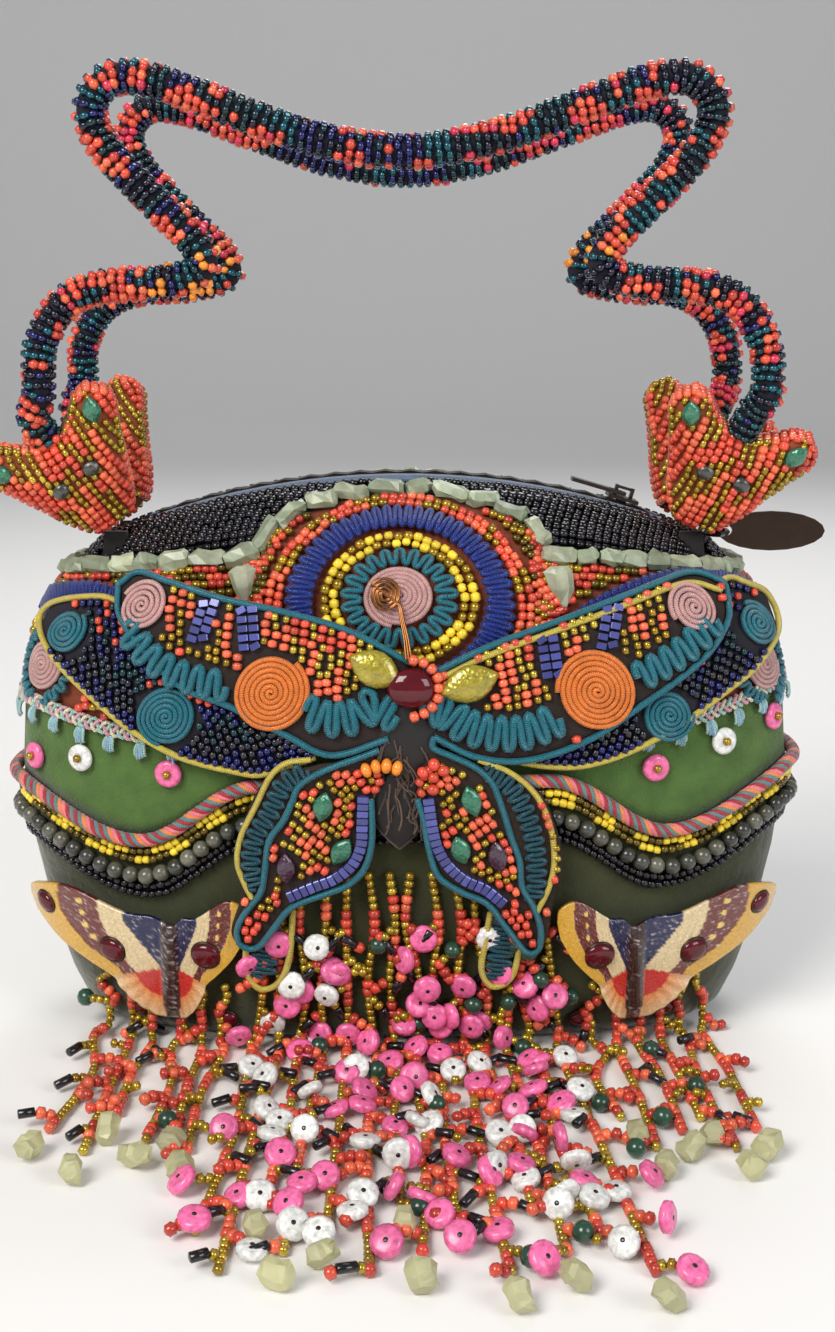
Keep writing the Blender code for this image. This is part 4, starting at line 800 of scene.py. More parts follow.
@dataclass(frozen=True)
class Finish:
    """A Principled finish, coloured by the piece's tints.

    Attributes:
        name: the material's name.
        roughness, coat, sheen, transmission: the shader's values.
        shade: how strongly patches are lighter and darker.
        shade_scale: how small those patches are.
        winding: distance between the ridges of a wound cord, or 0.
        pile: how small the nap of a cloth is, or 0.
        crackle: how small the cells of a crackled foil are, or 0.
        bump: the depth of the relief.
    """

    name: str
    roughness: float
    coat: float = 0.0
    sheen: float = 0.0
    transmission: float = 0.0
    shade: float = 0.25
    shade_scale: float = 400.0
    winding: float = 0.0
    pile: float = 0.0
    crackle: float = 0.0
    bump: float = 0.0

    def build(self, groups: dict[str, Tree]) -> bpy.types.Material:
        """The material's nodes.

        Args:
            groups: the shared effects.

        Returns:
            The material.
        """
        material = bpy.data.materials.new(self.name)
        material.use_nodes = True
        tree = material.node_tree
        shader = tree.nodes["Principled BSDF"]
        feed(tree, shader, {"Roughness": self.roughness, "Coat Weight": self.coat, "Coat Roughness": 0.08,
                            "Sheen Weight": self.sheen, "Sheen Roughness": 0.4,
                            "Transmission Weight": self.transmission})
        shade = add_node(tree, "Group", {"Scale": self.shade_scale, "Amount": self.shade},
                         node_tree=groups["shade"])
        tint = add_node(tree, "Attribute", {}, attribute_name="tint")
        feed(tree, shade, {"Color": tint.outputs["Color"]})
        feed(tree, shader, {"Base Color": shade.outputs["Color"]})
        if self.transmission == 0:
            feed(tree, shader, {"Metallic": tint.outputs["Alpha"]})
        height = self.relief(tree, groups, shader)
        if height is not None:
            bump = add_node(tree, "Bump", {"Strength": 0.9, "Distance": self.bump * MM, "Height": height})
            feed(tree, shader, {"Normal": bump.outputs["Normal"]})
        return material

    def relief(self, tree: Tree, groups: dict[str, Tree],
               shader: bpy.types.Node) -> object:
        """The height that makes the surface's relief, or None.

        Args:
            tree: the material's node tree.
            groups: the shared effects.
            shader: the Principled node, which a crackled foil makes uneven in gloss.

        Returns:
            The socket that gives the height.
        """
        if self.winding or self.pile:
            group = groups["winding" if self.winding else "pile"]
            return add_node(tree, "Group", {0: self.winding or self.pile}, node_tree=group).outputs["Height"]
        if self.crackle:
            cells = add_node(tree, "TexVoronoi", {"Scale": self.crackle}, feature="F1")
            feed(tree, cells, {"Vector": add_node(tree, "TexCoord", {}).outputs["Object"]})
            feed(tree, shader, {"Roughness": math_node(tree, "MULTIPLY", cells.outputs["Distance"], 0.5)})
            return cells.outputs["Distance"]
        return None


class Look(Enum):
    """The finishes of the bag."""

    VELVET = Finish("velvet", 0.95, sheen=0.6, shade=0.5, shade_scale=90, pile=2600, bump=0.35)
    SUEDE = Finish("suede", 0.95, sheen=0.3, shade=0.4, shade_scale=160, pile=1800, bump=0.5)
    GROUND = Finish("ground_cloth", 0.9, shade=0.3, pile=2000, bump=0.2)
    SEED = Finish("seed_beads", 0.2, coat=0.3, shade=0.2, shade_scale=700)
    JET = Finish("jet_beads", 0.07, shade=0.1)
    CORD = Finish("satin_cord", 0.3, coat=0.15, sheen=0.2, shade=0.3, winding=0.5, bump=0.3)
    TWIST = Finish("twisted_cord", 0.5, sheen=0.3, shade=0.25, winding=0.5, bump=0.15)
    STONE = Finish("pale_stone", 0.3, transmission=0.45, shade=0.6, shade_scale=260)
    NUGGET = Finish("frosted_nugget", 0.4, transmission=0.5, shade=0.3, shade_scale=160)
    HOWLITE = Finish("veined_disc", 0.32, coat=0.3, shade=0.75, shade_scale=750)
    GREY = Finish("grey_stone", 0.25, coat=0.4, shade=0.7, shade_scale=330)
    FOIL = Finish("foil_stone", 0.15, coat=0.9, shade=0.6, shade_scale=500, crackle=900, bump=0.25)
    GLASS = Finish("glass_stone", 0.08, shade=0.5, shade_scale=200)
    ENAMEL = Finish("enamel", 0.25, coat=0.8, shade=0.5, shade_scale=1500, crackle=2600, bump=0.06)
    WIRE = Finish("copper_wire", 0.3, shade=0.2)
    CLOTH = Finish("tape_cloth", 0.85, sheen=0.3, shade=0.3, pile=1500, bump=0.2)


class Finishes:
    """Builds each finish once and hands it out."""

    def __init__(self) -> None:
        """Build the shared effects."""
        self.groups = build_groups()
        self.made: dict[Look, bpy.types.Material] = {}

    def __getitem__(self, look: Look) -> bpy.types.Material:
        """The material of a look."""
        if look not in self.made:
            self.made[look] = look.value.build(self.groups)
        return self.made[look]

    def coloured(self, name: str, look: Look, tint: Array) -> bpy.types.Material:
        """A look's material in one colour, for a CAD node.

        Args:
            name: the material's name.
            look: the finish it starts from.
            tint: its colour and share of metal.

        Returns:
            The material.
        """
        material = self[look].copy()
        material.name = name
        tree = material.node_tree
        for link in list(tree.links):
            if link.from_node.type == "ATTRIBUTE" and link.from_node.attribute_name == "tint":
                tree.links.remove(link)
        for node in tree.nodes:
            if node.type == "GROUP" and "Color" in node.inputs:
                node.inputs["Color"].default_value = (*tint[:3], 1.0)
        feed(tree, tree.nodes["Principled BSDF"], {"Metallic": tint[3]})
        return material


FINISHES = Finishes()


def show(heap: Heap, name: str, look: Look, slot: str, *nodes: str, body: str = "bag",
         flat: bool = False) -> bpy.types.Object:
    """Make a heap's piece, let it ride on a body, take a look's finish and stand for CAD nodes.

    Args:
        heap: what it is made of.
        name: its name.
        look: its finish.
        slot: the record's material slot; not used.
        *nodes: CAD nodes that it stands for.
        body: the body that carries it.
        flat: whether its faces show as facets.

    Returns:
        The piece.
    """
    piece = heap.make(name, FINISHES[look], flat)
    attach(piece, body)
    if nodes:
        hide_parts(*nodes)
    log.info("%s: %d quads on %s", name, len(piece.data.polygons), body)
    return piece


# Skins and rows round the girth

@dataclass
class Skins:
    """The four cloth skins of the body, finer than the frame's."""

    segments: int = 168
    wall: float = 0.9
    seam: float = 0.02
    floor: float = 1.9

    BANDS = (("velvet_band", 26, Look.VELVET, (50, 54, 24), "velvet"),
             ("suede_band", 8, Look.SUEDE, (74, 104, 46), "suede"),
             ("beaded_ground", 16, Look.GROUND, (120, 56, 34), "coral_gold_beads"),
             ("bead_crown", 14, Look.GROUND, (14, 12, 16), "black_beads"))

    def build(self) -> None:
        """All four skins, from the table up to the mouth, each closed, a seam above the one below.

        Formula: rows even shares from the lower line to the upper, at the surface and a wall below.
        """
        angles = np.linspace(0, TAU, self.segments, endpoint=False)
        lines = [BODY.level_at(angles, line(angles)) for line in (BODY.scallop, BODY.braid, BODY.rim)]
        lows = [np.full(self.segments, BODY.level_at(0.0, self.floor)), *(line + self.seam for line in lines)]
        highs = [*lines, np.full(self.segments, float(BODY.top))]
        for low, high, (name, rows, look, colour, slot) in zip(lows, highs, self.BANDS):
            share = np.linspace(0, 1, rows)[None, :]
            levels = low[:, None] * (1 - share) + high[:, None] * share
            heap = Heap()
            heap.plate(BODY.over(angles[:, None], levels, 0.0),
                       BODY.over(angles[:, None], levels, -self.wall), screen(*colour), wraps=True)
            show(heap, f"{name}_skin", look, slot, name)


def bead_row(heap: Heap, line: Course, tints: Array, length: float, width: float,
             rng: Rng, shape: Shape = SEED, jitter: float = 0.05) -> None:
    """Beads along a course, each a little off its place and size.

    Args:
        heap: where they go.
        line: a point for each bead.
        tints: a colour for each bead.
        length: size along the hole.
        width: size across it.
        rng: source of the draws.
        shape: the bead.
        jitter: how uneven sizes and places are.
    """
    count = len(line.points)
    shift = rng.normal(0, jitter * width, (count, 1)) * line.across()
    size = np.array((length, width, width)) * (1 + rng.normal(0, jitter, (count, 1)))
    heap.scatter(shape, line.points + shift, line.along, line.up, size, tints)


def runs(rng: Rng, count: int, mix: tuple[Tint, ...], lengths: tuple[int, int]) -> Array:
    """Colours in runs: each run takes the next colour and has a drawn length.

    Args:
        rng: source of the draws.
        count: how many are needed.
        mix: the tints in turn.
        lengths: the shortest and longest run.

    Returns:
        A colour for each.
    """
    sizes = rng.integers(lengths[0], lengths[1] + 1, count)
    order = np.repeat(np.arange(count), sizes)[:count] % len(mix)
    return vary(rng, palette(*mix)[order], 0.14)


@dataclass
class GirthRows:
    """The twisted cord and the bead rows that follow the scallop line."""

    rope_radius: float = 2.1
    rope_pitch: float = 9.0
    strand_radius: float = 0.864
    bead: float = 2.3
    yellow_at: tuple[float, float] = (3.6, 6.2)
    grey_at: float = 10.6
    grey: float = 4.9
    black_at: tuple[float, float] = (14.4, 16.8)

    STRANDS = (Tint.ROPE_RED, Tint.ROPE_PINK, Tint.ROPE_ORANGE, Tint.ROPE_TEAL, Tint.ROPE_RED, Tint.ROPE_TEAL)

    def build_rope(self) -> None:
        """Six strands twisted round a middle line: offset = r (across cos a + up sin a)."""
        step = 1.05
        line = BODY.ring(BODY.scallop, 0.0, 0.4 + self.rope_radius * 1.05, step)
        walked = walk_lengths(line.points)
        turns = round(walked[-1] / self.rope_pitch)
        phase = walked / (walked[-1] + step) * TAU * turns
        heap = Heap()
        reach = self.rope_radius - self.strand_radius
        for order, tint in enumerate(self.STRANDS):
            turn = (phase + order * TAU / len(self.STRANDS))[:, None]
            path = line.points + reach * (line.across() * np.cos(turn) + line.up * np.sin(turn))
            heap.sweep(path, line.up, self.strand_radius, tint.rgba(), closed=True)
        show(heap, "rope_trim_strands", Look.TWIST, "twisted_cord", "rope_trim")

    def build(self) -> None:
        """The cord, two yellow rows, the grey stone row and two black rows."""
        self.build_rope()
        rng = np.random.default_rng(11)
        self.rows(rng, "yellow", self.yellow_at, 1.45, (Tint.YELLOW, Tint.GOLD_DARK), (2, 4), 1.02,
                  Look.SEED, "yellow_gold_beads")
        line = BODY.ring(BODY.scallop, self.grey_at, 2.75, self.grey)
        picks = palette(Tint.GREY_STONE, Tint.GREY_DARK)[rng.integers(0, 2, len(line.points))]
        grey = Heap()
        bead_row(grey, line, vary(rng, picks, 0.2), self.grey * 0.96, self.grey * 1.02, rng, ROUND, 0.02)
        show(grey, "grey_stone_row", Look.GREY, "grey_stone", "grey_bead_row")
        self.rows(rng, "black", self.black_at, 1.4, BLACK_MIX, (1, 4), 1.0, Look.JET, "black_beads")

    def rows(self, rng: Rng, name: str, drops: tuple, height: float, mix: tuple[Tint, ...],
             lengths: tuple[int, int], long: float, look: Look, slot: str) -> None:
        """Rows of beads in runs of tints.

        Args:
            rng: source of the draws.
            name: the piece's name, before its ending.
            drops: how far each row lies below the scallop line.
            height: height of the beads' middles above the surface.
            mix: the tints in turn.
            lengths: the shortest and longest run of a tint.
            long: a bead's length as a share of the pitch.
            look: the finish.
            slot: the record's material slot.
        """
        heap = Heap()
        for drop in drops:
            line = BODY.ring(BODY.scallop, drop, height, self.bead)
            tints = runs(rng, len(line.points), mix, lengths)
            bead_row(heap, line, tints, self.bead * long, self.bead * 1.12, rng)
        show(heap, f"{name}_rows", look, slot, f"{name}_bead_rows")


@dataclass
class Braid:
    """The gimp braid of three looped cords, with knotted tufts hanging from it."""

    repeat: float = 6.4
    half_width: float = 1.7
    cord: float = 0.62
    tuft_pitch: float = 9.5
    tuft_drop: float = 5.4

    def build(self) -> None:
        """Three cords, each a third of a repeat behind the last: across = w sin a, up = .5 sin 2a."""
        line = BODY.ring(BODY.braid, 0.0, 1.5, 0.8)
        walked = walk_lengths(line.points)
        turns = round(walked[-1] / self.repeat)
        heap = Heap()
        for order, tint in enumerate((Tint.BRAID_PINK, Tint.BRAID_MINT, Tint.BRAID_CREAM)):
            phase = (walked / walked[-1] * turns + order / 3) * TAU
            path = (line.points + (self.half_width * np.sin(phase))[:, None] * line.across()
                    + (0.5 * np.sin(2 * phase))[:, None] * line.up)
            heap.sweep(path, line.up, self.cord, tint.rgba(), closed=True)
        self.tufts(heap)
        show(heap, "braid_cords", Look.CORD, "gimp_braid", "gimp_braid")

    def tufts(self, heap: Heap) -> None:
        """Knots of five loops each, below the braid: every loop is half an ellipse of cord."""
        rng = np.random.default_rng(12)
        line = BODY.ring(BODY.braid, 2.2, 1.2, self.tuft_pitch)
        for point, across, up in zip(line.points, line.along, line.up):
            down = unit(np.cross(up, across))
            down = down if down[2] < 0 else -down
            for lean in (-1.0, -0.5, 0.0, 0.5, 1.0):
                turn = np.linspace(0, math.pi, 9)[:, None]
                drop = self.tuft_drop * (1 - 0.25 * abs(lean)) * rng.uniform(0.85, 1.1)
                path = (point + across * (lean * 1.5 * np.sin(turn / 2) * 1.3 + 0.5 * np.cos(turn) * lean)
                        + down * (drop * np.sin(turn / 2) ** 2 * 0.9)
                        + up * (0.2 + 0.9 * np.sin(turn)))
                tint = shades(rng, Tint.TUFT_BLUE if abs(lean) < 0.8 else Tint.BRAID_MINT, 0.1)
                heap.sweep(path, up, 0.5, tint, sides=4)


@dataclass
class Studs:
    """Disc beads sewn to the suede, each under a gold bead."""

    radius: float = 3.9
    thick: float = 2.3

    PLACES = {"stud_pink_left_end": (-107.0, 85.0), "stud_white_left": (-92.0, 87.0),
              "stud_pink_left": (-66.0, 84.5), "stud_pink_right": (71.0, 86.0),
              "stud_white_right": (91.0, 92.0), "stud_pink_right_end": (107.0, 96.5)}

    def build(self) -> None:
        """One disc on each of the frame's six studs, and its gold bead."""
        rng = np.random.default_rng(13)
        beads = Heap()
        for node, (x, z) in self.PLACES.items():
            tint, slot = (Tint.PINK, "pink_stone") if "pink" in node else (Tint.WHITE, "white_stone")
            line = BODY.front_course(((x, z), (x + 0.1, z)), 0.3 + self.thick / 2)
            heap = Heap()
            heap.scatter(STUD, line.points[:1], line.up[:1], line.along[:1],
                         (self.thick, self.radius * 2, self.radius * 2), tint.rgba()[None])
            show(heap, f"{node}_disc", Look.HOWLITE, slot, node)
            beads.scatter(SEED, line.points[:1] + line.up[:1] * 1.5, line.along[:1], line.up[:1],
                          (2.2, 2.6, 2.6), shades(rng, Tint.GOLD, 0.1))
        show(beads, "stud_gold_beads", Look.SEED, "yellow_gold_beads")


# Wings: each lies between an upper and a lower edge, seen from the front

WING_EDGES = {
    "front_wing_left": (
        ((2, 117), (-15, 125), (-33, 129.5), (-48, 132), (-63, 135.5), (-71.5, 137), (-77, 134)),
        ((-4, 97), (-19.5, 92.5), (-32, 98), (-46.5, 105), (-60, 110), (-70.5, 119.5), (-76.5, 127))),
    "front_wing_right": (
        ((8, 114), (22, 120.5), (37, 125.5), (60, 132.5), (76, 136.5), (86, 134), (88, 130)),
        ((8.5, 97.5), (20, 92), (34, 91), (50, 96), (64, 104.5), (80, 115), (87.5, 124))),
    "rear_wing_left": (
        ((-24, 94.5), (-37.5, 100), (-47, 106), (-60, 112), (-70, 122), (-78.5, 130.5), (-89, 130.5),
         (-98, 127.5)),
        ((-24, 91.5), (-37.5, 86.6), (-46, 87), (-61.5, 90.6), (-75, 97.5), (-88.5, 107.5), (-97, 115),
         (-101, 122.5))),
    "rear_wing_right": (
        ((24, 95.5), (38, 99), (50, 106), (63, 114), (78, 126), (88, 134.5), (96, 132.5), (102, 128.5)),
        ((24, 92), (37.5, 89), (49, 88.5), (61, 91.5), (74, 97.5), (88, 106), (98, 112.5), (104.5, 121))),
    "hind_wing_left": (
        ((-5.5, 94.5), (-15, 91), (-24, 89.5), (-37, 85.5), (-43, 75), (-45.5, 64), (-45, 52),
         (-48, 41), (-46, 35.5)),
        ((-5, 86), (-8.5, 78), (-9, 68), (-12, 60), (-20, 54), (-30, 49.5), (-36, 43), (-40, 36.5))),
    "hind_wing_right": (
        ((7.5, 94.5), (20, 89.5), (36, 83), (41.5, 73), (43.8, 62), (41.5, 50), (40.5, 41), (38.5, 35)),
        ((4, 86), (4, 79), (6, 69), (9.5, 59.5), (15, 54.5), (23, 50.5), (29.5, 43), (33.5, 36))),
}
FRONT_COILS = ((-35.5, 109.0, 10.0), (-70.0, 129.5, 6.2), (52.0, 109.0, 10.5), (78.0, 128.5, 6.4))
REAR_COILS = ((-92.5, 122.0, 5.8), (-64.5, 101.5, 8.0), (97.5, 123.0, 6.0), (72.5, 101.5, 7.0))


def edge_line(points: tuple, count: int) -> Array:
    """Even places along a smooth line of (x, z) points."""
    line = smooth_line(points, 0.5)
    return look_up(np.linspace(0, len(line) - 1, count), np.arange(len(line)), line)


def outline_of(node: str, inset: float = 0.0) -> Array:
    """The closed outline of a wing, drawn in towards its middle by an inset."""
    upper, lower = WING_EDGES[node]
    line = np.concatenate((edge_line(upper, 40), edge_line(lower, 40)[::-1]))
    middle = line.mean(axis=0)
    away = line - middle
    return middle + away * np.maximum(0, 1 - inset / np.linalg.norm(away, axis=1, keepdims=True))


def inside(points: Array, outline: Array) -> Array:
    """Which flat places lie inside a closed outline, by counting crossings."""
    x, z = points[:, 0, None], points[:, 1, None]
    x0, z0 = outline[None, :, 0], outline[None, :, 1]
    x1, z1 = np.roll(x0, -1, 1), np.roll(z0, -1, 1)
    level = (z0 > z) != (z1 > z)
    cross = x < (x1 - x0) * (z - z0) / np.where(z1 == z0, 1e-9, z1 - z0) + x0
    return (level & cross).sum(axis=1) % 2 == 1


def covered(points: Array) -> Array:
    """Which points of the ground lie hidden under a wing."""
    flat = points[:, (0, 2)]
    hidden = np.zeros(len(points), bool)
    for node in WING_EDGES:
        hidden |= inside(flat, outline_of(node, 3.0))
    return hidden & (points[:, 1] < 0)


# Rosettes

FOLD_WAIT = 0.42


def fold_share(phase: Array) -> Array:
    """How far along its way a cord that is folded to and fro has come, 0 to 1.

    Formula: (p - wait sin 2p) / last p, while it swings across with sin p, so that the cord runs
    straight across and turns round at each edge.
    """
    return (phase - FOLD_WAIT * np.sin(2 * phase)) / phase[-1]


def ruffled_cord(heap: Heap, points: tuple, height: float, half: float, pitch: float, tint: Tint,
                 radius: float, behind: bool = False) -> None:
    """A cord folded to and fro across a line of (x, z) points on the front, or turned to the back.

    Args:
        heap: where it goes.
        points: the line.
        height: height above the surface.
        half: how far it swings to each side.
        pitch: distance from fold to fold.
        tint: its colour.
        radius: half the cord's width.
        behind: whether it lies on the back.
    """
    flat = smooth_line(points, 0.25)
    walked = walk_lengths(flat)
    turns = round(walked[-1] / pitch)
    phase = np.linspace(0, TAU * turns, turns * 15)
    at = fold_share(phase) * walked[-1]
    base, way = (look_up(at, walked, table) for table in (flat, headings(flat)))
    across = np.stack((-way[:, 1], way[:, 0]), axis=1)
    line = BODY.front_course(base + across * (half * np.sin(phase))[:, None],
                             height + 0.35 * np.cos(phase) ** 2)
    line = line.back() if behind else line
    heap.cord(line, radius, tint.rgba(), flat=1.1)


@dataclass
class Rosette:
    """Rings of cord and beads round a coil.

    Attributes:
        patch: where it is.
        coil: radius of the middle coil.
        teal, beads, blue: inner and outer radius of each ring.
        arc: the part of the turn that shows.
        low_arc: the part along which the inner ruffle goes on.
    """

    patch: Patch
    seed: int
    coil: float = 9.4
    teal: tuple[float, float] = (10.0, 16.4)
    beads: tuple[float, float] = (17.6, 21.6)
    blue: tuple[float, float] = (23.4, 32.0)
    arc: tuple[float, float] = (0.0, TAU)
    low_arc: tuple[float, float] | None = None

    def spiral(self, heap: Heap, radius: float, tint: Array, base: float, pitch: float = 1.4) -> None:
        """A coil of wound cord: the radius grows by a pitch a turn, the middle stands higher."""
        turns = radius / pitch
        turn = np.linspace(0.6, turns * TAU, int(turns * 34))
        reach = turn / TAU * pitch
        line = self.patch.course(reach, turn, base + 0.7 * (1 - (reach / radius) ** 2))
        heap.cord(line, pitch * 0.56, tint)

    def ruffle(self, heap: Heap, radii: tuple[float, float], pitch: float, cord: float, tint: Array,
               base: float, rng: Rng, arc: tuple[float, float] | None = None) -> None:
        """A cord folded to and fro across a ring, a little unevenly."""
        middle, half = (radii[0] + radii[1]) / 2, (radii[1] - radii[0]) / 2 - cord
        arc = arc or self.arc
        span = arc[1] - arc[0]
        folds = round(span * middle * 0.93 / pitch)
        phase = np.linspace(0, TAU * folds, folds * 16)
        turn = arc[0] + span * fold_share(phase)
        uneven = 1 + 0.08 * np.interp(phase, np.arange(folds + 1) * TAU, rng.normal(0, 1, folds + 1))
        line = self.patch.course(middle + half * np.sin(phase) * uneven, turn,
                                 base + 0.5 * np.cos(phase) ** 2)
        heap.cord(line, cord, tint, flat=1.15)

    def bead_ring(self, heap: Heap, radius: float, mix: tuple[Tint, ...], lengths: tuple[int, int],
                  rng: Rng, width: float, base: float) -> None:
        """A ring of beads in runs of tints."""
        closed = self.arc[1] - self.arc[0] > 6.28
        line = even_course(self.patch.course(np.full(400, radius), np.linspace(*self.arc, 400), base),
                           width * 0.95)
        line = line.pick(np.arange(len(line.points) - 1)) if closed else line
        tints = runs(rng, len(line.points), mix, lengths)
        bead_row(heap, line, tints, width * 0.92, width, rng, jitter=0.08)


FRONT_PLACE = Patch(-1.0, 134.0, 0.86)
BACK_PLACE = Patch(0.0, 134.0, 0.86, behind=True)
CORNER_PLACE = (102.5, 112.0)


@dataclass
class Rosettes:
    """The front rosette, the back one, and one at each corner, under a blue band."""

    BANDS = (((-104.5, 125.8), (-100, 129.2), (-95.5, 131), (-87, 132.2), (-78, 130.6)),
             ((42, 121.5), (49, 127), (58, 131.8), (70, 135.2), (84, 135.8), (93, 133.6), (99.5, 129.8),
              (104, 126)))

    def full(self) -> None:
        """The front rosette, whose rings are nodes of the frame."""
        rng = np.random.default_rng(21)
        rosette = Rosette(FRONT_PLACE, 21)
        coil, teal, beads, blue, coral = (Heap() for _ in range(5))
        rosette.spiral(coil, rosette.coil, Tint.MAUVE.rgba(), 2.8)
        show(coil, "rosette_mauve_coil", Look.CORD, "mauve_cord", "rosette_coil")
        rosette.ruffle(teal, rosette.teal, 3.6, 0.82, Tint.TEAL_CORD.rgba(), 2.6, rng)
        show(teal, "rosette_teal_cord", Look.CORD, "teal_cord", "rosette_teal_ruffle")
        for radius, lengths in ((17.9, (2, 4)), (20.6, (2, 5))):
            rosette.bead_ring(beads, radius, YELLOW_MIX, lengths, rng, 2.9, 2.4)
        show(beads, "rosette_yellow_beads", Look.SEED, "yellow_gold_beads", "rosette_bead_ring")
        rosette.ruffle(blue, rosette.blue, 2.9, 0.84, Tint.BLUE_CORD.rgba(), 2.6, rng)
        show(blue, "rosette_blue_cord", Look.CORD, "blue_cord", "rosette_blue_ruffle")
        for radius in (33.6, 36.2):
            rosette.bead_ring(coral, radius, WING_MIX[:3], (1, 3), rng, 2.7, 2.2)
        show(coral, "rosette_coral_beads", Look.SEED, "coral_gold_beads", "rosette_coral_ring")

    def partial(self, name: str, rosette: Rosette) -> None:
        """A rosette at a corner or on the back: cords in one piece and beads in another."""
        rng = np.random.default_rng(rosette.seed)
        cords, beads = Heap(), Heap()
        rosette.spiral(cords, rosette.coil, Tint.MAUVE.rgba(), 2.2)
        rosette.ruffle(cords, rosette.teal, 3.3, 0.8, Tint.TEAL_CORD.rgba(), 2.1, rng, rosette.low_arc)
        if "corner" in name:
            band = self.BANDS[0 if rosette.patch.x < 0 else 1]
            ruffled_cord(cords, band, 2.4, 3.0, 2.2, Tint.BLUE_CORD, 0.85, rosette.patch.behind)
        else:
            rosette.ruffle(cords, rosette.blue, 2.9, 0.8, Tint.BLUE_CORD.rgba(), 2.1, rng)
        show(cords, f"{name}_cords", Look.CORD, "blue_cord", name)
        for radius in (rosette.beads[0] + 0.6, rosette.beads[1] - 0.6):
            rosette.bead_ring(beads, radius, YELLOW_MIX, (2, 4), rng, 2.5, 2.0)
        show(beads, f"{name}_beads", Look.SEED, "yellow_gold_beads")

    def build(self) -> None:
        """All six."""
        self.full()
        self.partial("rosette_back", Rosette(BACK_PLACE, 22))
        for side, mark in SIDES:
            arc = (0.2 * math.pi, 0.92 * math.pi) if side > 0 else (0.08 * math.pi, 0.8 * math.pi)
            for behind, depth in ((False, "front"), (True, "back")):
                where = mark if not behind else ("right" if side < 0 else "left")
                patch = Patch(side * CORNER_PLACE[0], CORNER_PLACE[1], behind=behind)
                corner = Rosette(patch, 23 + 2 * behind + (side > 0), coil=7.0, teal=(8.0, 12.4),
                                 beads=(13.0, 17.6), arc=arc, low_arc=(-0.42 * math.pi, 1.42 * math.pi))
                self.partial(f"corner_rosette_{depth}_{where}", corner)


# Beads over the ground and the crown

